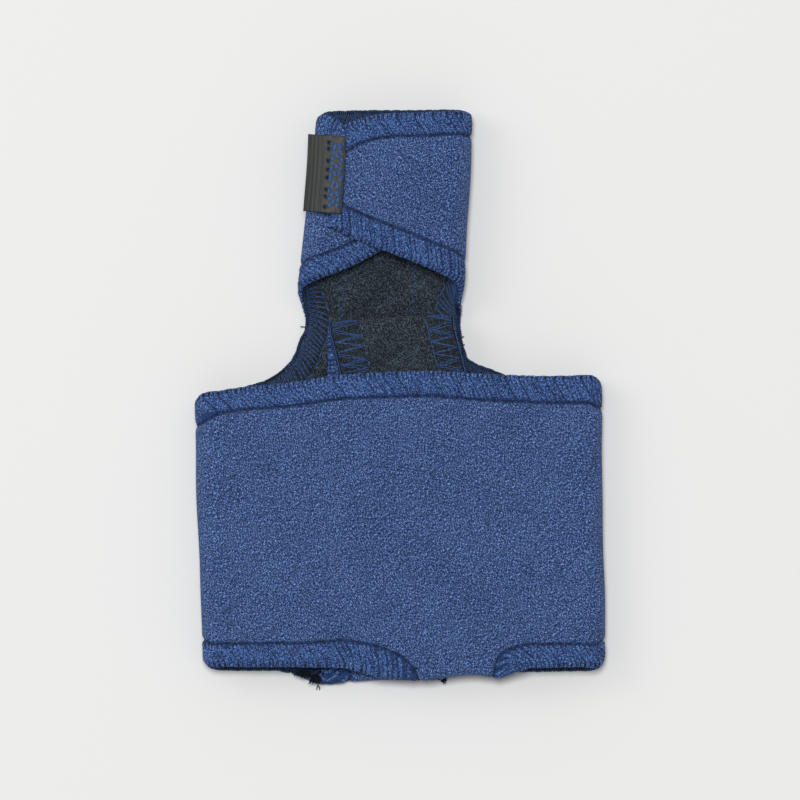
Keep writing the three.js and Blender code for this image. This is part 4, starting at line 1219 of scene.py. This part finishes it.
def bulked_polyester_thread(tree, look):
    """Textured polyester of the wraps: crimped filaments that fluff up like the terry they lie on."""
    place = add_node(tree, "ShaderNodeTexCoord").outputs["Object"]
    from_above = {"Vector": place, "Scale": (1 / MM, 1 / MM, 0)}
    lit = tufts(tree, add_node(tree, "ShaderNodeMapping", from_above).outputs[0], TUFT)
    marks = attribute(tree, "thread", "Vector")
    strand = remap(tree, noise(tree, marks, 0.25, Detail=0.0), 0.3, 0.7, -0.1, 0.14)
    # Painted shade: each wrap darkens towards its sides, where it turns down to the terry and its
    # neighbours; the strand noise adds a random tone of its own, and the lit tufts are painted highlight
    top = add_node(tree, "ShaderNodeSeparateXYZ", {"Vector": marks}).outputs["Z"]
    shade = calculate(tree, "ADD", strand, remap(tree, top, 0.1, 0.75, -0.5, 0))
    tone = calculate(tree, "ADD", lit, shade)
    colour = ramp(tree, tone, ((0, look.hem_dark), (0.5, look.hem), (1, look.hem_light)))
    matt = {"Roughness": 0.9, "IOR": 1.57, "Specular IOR Level": 0.15, "Sheen Weight": 0.08}
    finish_material(tree, colour, lit, 0.3 * MM, matt)


def plied_polyester_thread(tree, look):
    """Polyester looper and needle thread: a tight ply with a faint sheen."""
    turns = {"Vector": attribute(tree, "thread", "Vector"), "Scale": 0.5, "Distortion": 1.5}
    ply = add_node(tree, "ShaderNodeTexWave", turns, bands_direction="DIAGONAL").outputs["Fac"]
    colour = blend(tree, ply, look.thread_dark, look.thread)
    faint_sheen = {"Roughness": 0.55, "IOR": 1.57, "Specular IOR Level": 0.35}
    finish_material(tree, colour, ply, 0.05 * MM, faint_sheen)


def black_thread_end(tree, look):
    """Black fluffed thread of the lining, cut at its ends."""
    lit = noise(tree, attribute(tree, "thread", "Vector"), 2.0, Detail=2.0)
    colour = ramp(tree, lit, ((0.3, look.lining_dark), (0.8, look.lining)))
    finish_material(tree, colour, lit, 0.1 * MM, {"Roughness": 0.9, "Specular IOR Level": 0.2})


def extruded_hook_tape(tree, look):
    """Extruded polyamide hook tape: satin dark grey, faintly streaked along its length."""
    flat, hole = attribute(tree, "flat", "Vector"), attribute(tree, "hole", "Fac")
    drawn = add_node(tree, "ShaderNodeMapping", {"Vector": flat, "Scale": (1, 0.04, 1)}).outputs[0]
    streak = noise(tree, drawn, 1.6, Detail=3.0, Roughness=0.6)
    across = add_node(tree, "ShaderNodeSeparateXYZ", {"Vector": flat}).outputs["X"]
    sewn_part = remap(tree, across, -0.2, 0.3)
    scuffed = calculate(tree, "MULTIPLY", sewn_part, remap(tree, noise(tree, flat, 0.8), 0.4, 0.6))
    body = ramp(tree, streak, ((0.3, look.tape_dark), (0.7, look.tape)))
    body = blend(tree, scuffed, body, look.tape_scuffed)
    colour = blend(tree, remap(tree, hole, 0.2, 0.7), body, HOLE_COLOUR)
    satin = {"Roughness": 0.6, "IOR": 1.53, "Specular IOR Level": 0.35}
    finish_material(tree, colour, streak, 0.05 * MM, satin)


def laminate_materials():
    """Materials of the outer skin, the lining and the rim."""
    return [shared_material(fill) for fill in (brushed_loop_terry, fine_knit_lining, cut_foam_edge)]


def thread_materials():
    """Materials in the order of the numbers BULKED and FINE_THREAD."""
    return [shared_material(fill) for fill in (bulked_polyester_thread, plied_polyester_thread)]


# Settings


def linear(hex_colour):
    """Linear colour from an sRGB hex value."""
    parts = [int(hex_colour[k : k + 2], 16) / 255 for k in (1, 3, 5)]
    return (*(c / 12.92 if c <= 0.04045 else ((c + 0.055) / 1.055) ** 2.4 for c in parts), 1.0)


def size(name, description, default):
    return FloatProperty(name=name, description=description, default=default, unit="LENGTH")


def angle(name, description, degrees):
    default = math.radians(degrees)
    return FloatProperty(name=name, description=description, default=default, subtype="ANGLE")


def power(name, description, watts):
    return FloatProperty(name=name, description=description, default=watts, unit="POWER")


def tint(name, description, hex_colour):
    look = {"size": 4, "subtype": "COLOR", "min": 0, "max": 1, "default": linear(hex_colour)}
    return FloatVectorProperty(name=name, description=description, **look)


class LookSettings(bpy.types.PropertyGroup):
    """Colours of the cloth, the threads and the tape."""

    # The gap colours are painted shade between loops, wraps and stitches, and the lit colours painted
    # highlight where these catch the light; hem_dark also paints the shade in the needle line's groove, and
    # the cut edge takes some of them as its own colours
    pile_dark: tint("Pile gaps", "Between the loops of the terry", "#10295a")
    pile: tint("Pile", "Terry at its mean", "#34538a")
    pile_light: tint("Lit loops", "Loops that catch the light", "#7699dc")
    hem_dark: tint("Hem gaps", "Between the wraps of bulked thread", "#0c2555")
    hem: tint("Hem", "Bulked thread at its mean", "#305495")
    hem_light: tint("Lit hem", "Bulked thread that catches the light", "#6b92d6")
    lining_dark: tint("Lining gaps", "Between the stitches of the lining", "#090e14")
    lining: tint("Lining", "Lining at its mean", "#1f2932")
    lining_light: tint("Lit lining", "Stitches that catch the light", "#4a5965")
    thread_dark: tint("Fine thread, dark", "In the turns of the ply", "#1a3768")
    thread: tint("Fine thread", "Looper and needle thread", "#3c62a0")
    tape_dark: tint("Tape, dark", "Streaks of the hook tape", "#242625")
    tape: tint("Tape", "Hook tape", "#393c3a")
    tape_scuffed: tint("Tape, scuffed", "Where the needle has roughened it", "#42423a")


class StitchSettings(bpy.types.PropertyGroup):
    """Sizes of the overlock and the zigzag stitches."""

    pitch: size("Wrap pitch", "Between neighbouring wraps of bulked thread", 1.15 * MM)
    slant: size("Slant", "How far a wrap runs along the border", 3 * MM)
    bulk: size("Bulked radius", "Radius of the bulked thread, before it is flattened", 0.54 * MM)
    fine: size("Fine radius", "Radius of the looper and needle thread", 0.12 * MM)
    leg_pitch: size("Leg pitch", "Between the narrow V stitches on the lining", 1.05 * MM)
    leg_lean: size("Leg lean", "How far a leg runs along the border", 2 * MM)
    rung_pitch: size("Rung pitch", "Between the wide V stitches on the strap's lining", 2.9 * MM)
    zigzag: size("Zigzag width", "Width of the seams on the neck's lining", 2.1 * MM)


class TabSettings(bpy.types.PropertyGroup):
    """Form of the hook tab."""

    length: size("Length", "Along the wing's tip", 19.8 * MM)
    sewn: size("Sewn width", "Part that lies on the wing", 4.6 * MM)
    free: size("Free width", "Part that stands off the wing, along its curve", 5.2 * MM)
    plate: size("Plate", "Thickness of the tape", 0.8 * MM)
    ribs: IntProperty(name="Ribs", description="Ribs along the free part", default=5, min=1)
    rib_height: size("Rib height", "Of the ribs along the free part", 0.14 * MM)
    droop: angle("Droop", "How far the free part has curved down", 38)
    turn: angle("Turn", "Of the tab on the wing", -3.2)
    stitch: size("Stitch", "Between needle holes", 2.4 * MM)
    hook_pitch: size("Hook pitch", "Between hooks", 0.95 * MM)
    hook_height: size("Hook height", "Of the hooks under the tape", 0.9 * MM)


class StudioSettings(bpy.types.PropertyGroup):
    """Camera and light over the table."""

    height: size("Camera height", "From the table to the camera", 4.0)
    view_width: size("View width", "Width of the table in the picture", 204.8 * MM)
    offset_x: size("Offset X", "Picture's middle from the object's", -0.13 * MM)
    offset_y: size("Offset Y", "Picture's middle from the object's", -0.9 * MM)
    backdrop: tint("Backdrop", "Colour of the table", "#ebebea")
    sky: FloatProperty(name="Sky", description="Strength of the light from all round", default=0.34)
    overhead: power("Overhead light", "Of the soft light above", 153)
    side: power("Side light", "Of the soft light from the left", 3.5)


class CorrectorSettings(bpy.types.PropertyGroup):
    """All settings of the toe corrector."""

    look: PointerProperty(type=LookSettings)
    stitches: PointerProperty(type=StitchSettings)
    tab: PointerProperty(type=TabSettings)
    studio: PointerProperty(type=StudioSettings)


def settings():
    return bpy.context.scene.toe_corrector


# Operators


def dress(piece, *nodes, slot="terry_laminate"):
    """Lets a piece ride the body and stand for CAD nodes. Its slot is not used."""
    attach(piece, BODY)
    if nodes:
        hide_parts(*nodes)
    return piece


class TOE_OT_foot_band(bpy.types.Operator):
    """Builds the foot band with the overlock at its toe end"""

    bl_idname = "toe_corrector.foot_band"
    bl_label = "Foot band"

    def execute(self, context):
        piece = dress(build_band(laminate_materials()), "foot_band")
        seam = dress(sew("toe_end_overlock", FRONT_OUTLINES[:1], settings().stitches))
        return {"FINISHED"}


class TOE_OT_toe_strap(bpy.types.Operator):
    """Builds the neck and the toe loop with their overlock and the zigzag seams on the neck"""

    bl_idname = "toe_corrector.toe_strap"
    bl_label = "Toe strap"

    def execute(self, context):
        sewn = settings().stitches
        piece = dress(build_toe_strap(laminate_materials()), "toe_strap")
        seam = dress(sew("toe_loop_overlock", LOOP_OUTLINES, sewn))
        threads = Threads(seed=6)
        for across, pitch in ZIGZAGS.values():
            add_neck_zigzag(threads, across, pitch, sewn)
        zigzag = dress(threads.build("neck_zigzag", thread_materials()))
        rise = samples(NECK_JOIN, WING_ROOT)
        neck = NECK_LENGTH * np.mean(neck_rim(rise, LEFT) + neck_rim(rise, RIGHT))
        float(neck + WINGS[LEFT].area() + WINGS[RIGHT].area())
        return {"FINISHED"}


class TOE_OT_heel_strap(bpy.types.Operator):
    """Builds the folded heel strap with the overlock of the heel end"""

    bl_idname = "toe_corrector.heel_strap"
    bl_label = "Heel strap"

    def execute(self, context):
        sewn = settings().stitches
        piece = dress(build_heel_strap(laminate_materials()), "heel_strap")
        seams = [
            dress(sew("front_heel_overlock", FRONT_OUTLINES[1:], sewn, strap=True)),
            dress(sew("back_heel_overlock", BACK_HEEL_OUTLINES, sewn, strap=True)),
            dress(build_loose_ends(sewn, [shared_material(black_thread_end)])),
        ]
        return {"FINISHED"}


class TOE_OT_hook_tab(bpy.types.Operator):
    """Builds the hook tab with its hooks and the zigzag that holds it"""

    bl_idname = "toe_corrector.hook_tab"
    bl_label = "Hook tab"

    def execute(self, context):
        tab, sewn = settings().tab, settings().stitches
        tape = shared_material(extruded_hook_tape)
        dress(build_tab(tab, [tape]), "hook_tab", slot="hook_plastic")
        dress(build_hooks(tab, [tape]), slot="hook_plastic")
        dress(build_tab_stitches(tab, sewn, thread_materials()))
        return {"FINISHED"}


OVERHEAD_LAMP = {"place": (-0.2, 0.65, 5), "width": 1.0}
SIDE_LAMP = {"place": (-1.1, 0.5, 1.1), "width": 0.8}
TABLE_REACH = 3  # metres, to each side
SENSOR_WIDTH = 36  # millimetres


def add_lamp(name, place, width, watts):
    """A square soft light that looks at the object."""
    light = bpy.data.lights.new(name, "AREA")
    light.size, light.energy = width, watts
    lamp = bpy.data.objects.new(name, light)
    lamp.location = place
    lamp.rotation_euler = (-Vector(place)).to_track_quat("-Z", "Y").to_euler()
    bpy.context.scene.collection.objects.link(lamp)


class TOE_OT_studio(bpy.types.Operator):
    """Sets the table, the light and the camera"""

    bl_idname = "toe_corrector.studio"
    bl_label = "Table, light and camera"

    def execute(self, context):
        studio = settings().studio
        scene = context.scene
        scene.view_settings.view_transform = "Standard"
        material, tree = new_material("matt_paper_backdrop")
        paper = {"Base Color": studio.backdrop, "Roughness": 0.9, "Specular IOR Level": 0.0}
        shader = add_node(tree, "ShaderNodeBsdfPrincipled", paper)
        add_node(tree, "ShaderNodeOutputMaterial", {"Surface": shader.outputs[0]})
        corners = [(x * TABLE_REACH, y * TABLE_REACH, 0) for x, y in ((-1, -1), (1, -1), (1, 1), (-1, 1))]
        new_object("table", corners, [(0, 1, 2, 3)], [material])
        scene.world = bpy.data.worlds.new("studio")
        scene.world.use_nodes = True
        tree = scene.world.node_tree
        tree.nodes.clear()
        sky = add_node(tree, "ShaderNodeBackground", {"Color": (1, 1, 1, 1), "Strength": studio.sky})
        add_node(tree, "ShaderNodeOutputWorld", {"Surface": sky.outputs[0]})
        add_lamp("overhead_light", watts=studio.overhead, **OVERHEAD_LAMP)
        add_lamp("side_light", watts=studio.side, **SIDE_LAMP)
        camera = bpy.data.cameras.new("overhead_camera")
        camera.sensor_width = SENSOR_WIDTH
        camera.lens = camera.sensor_width * studio.height / studio.view_width
        camera.clip_end = 10
        eye = bpy.data.objects.new("overhead_camera", camera)
        eye.location = (studio.offset_x, studio.offset_y, studio.height)
        scene.collection.objects.link(eye)
        scene.camera = eye
        return {"FINISHED"}


STEPS = (TOE_OT_foot_band, TOE_OT_toe_strap, TOE_OT_heel_strap, TOE_OT_hook_tab, TOE_OT_studio)


class TOE_PT_panel(bpy.types.Panel):
    """Lists the steps in the order in which they run, and the settings"""

    bl_idname = "TOE_PT_panel"
    bl_label = "Toe corrector"
    bl_space_type = "VIEW_3D"
    bl_region_type = "UI"
    bl_category = "Toe corrector"

    def draw(self, context):
        for step in STEPS:
            self.layout.operator(step.bl_idname)
        for group in (settings().look, settings().stitches, settings().tab, settings().studio):
            box = self.layout.box()
            for name in group.bl_rna.properties.keys():
                if name not in ("rna_type", "name"):
                    box.prop(group, name)


GROUPS = (LookSettings, StitchSettings, TabSettings, StudioSettings, CorrectorSettings)
CLASSES = (*GROUPS, *STEPS, TOE_PT_panel)


def register():
    for made in CLASSES:
        bpy.utils.register_class(made)
    bpy.types.Scene.toe_corrector = PointerProperty(type=CorrectorSettings)


def unregister():
    del bpy.types.Scene.toe_corrector
    for made in reversed(CLASSES):
        bpy.utils.unregister_class(made)


def main():
    register()
    for step in STEPS:
        group, name = step.bl_idname.split(".")
        getattr(getattr(bpy.ops, group), name)()


if __name__ == "__main__":
    main()
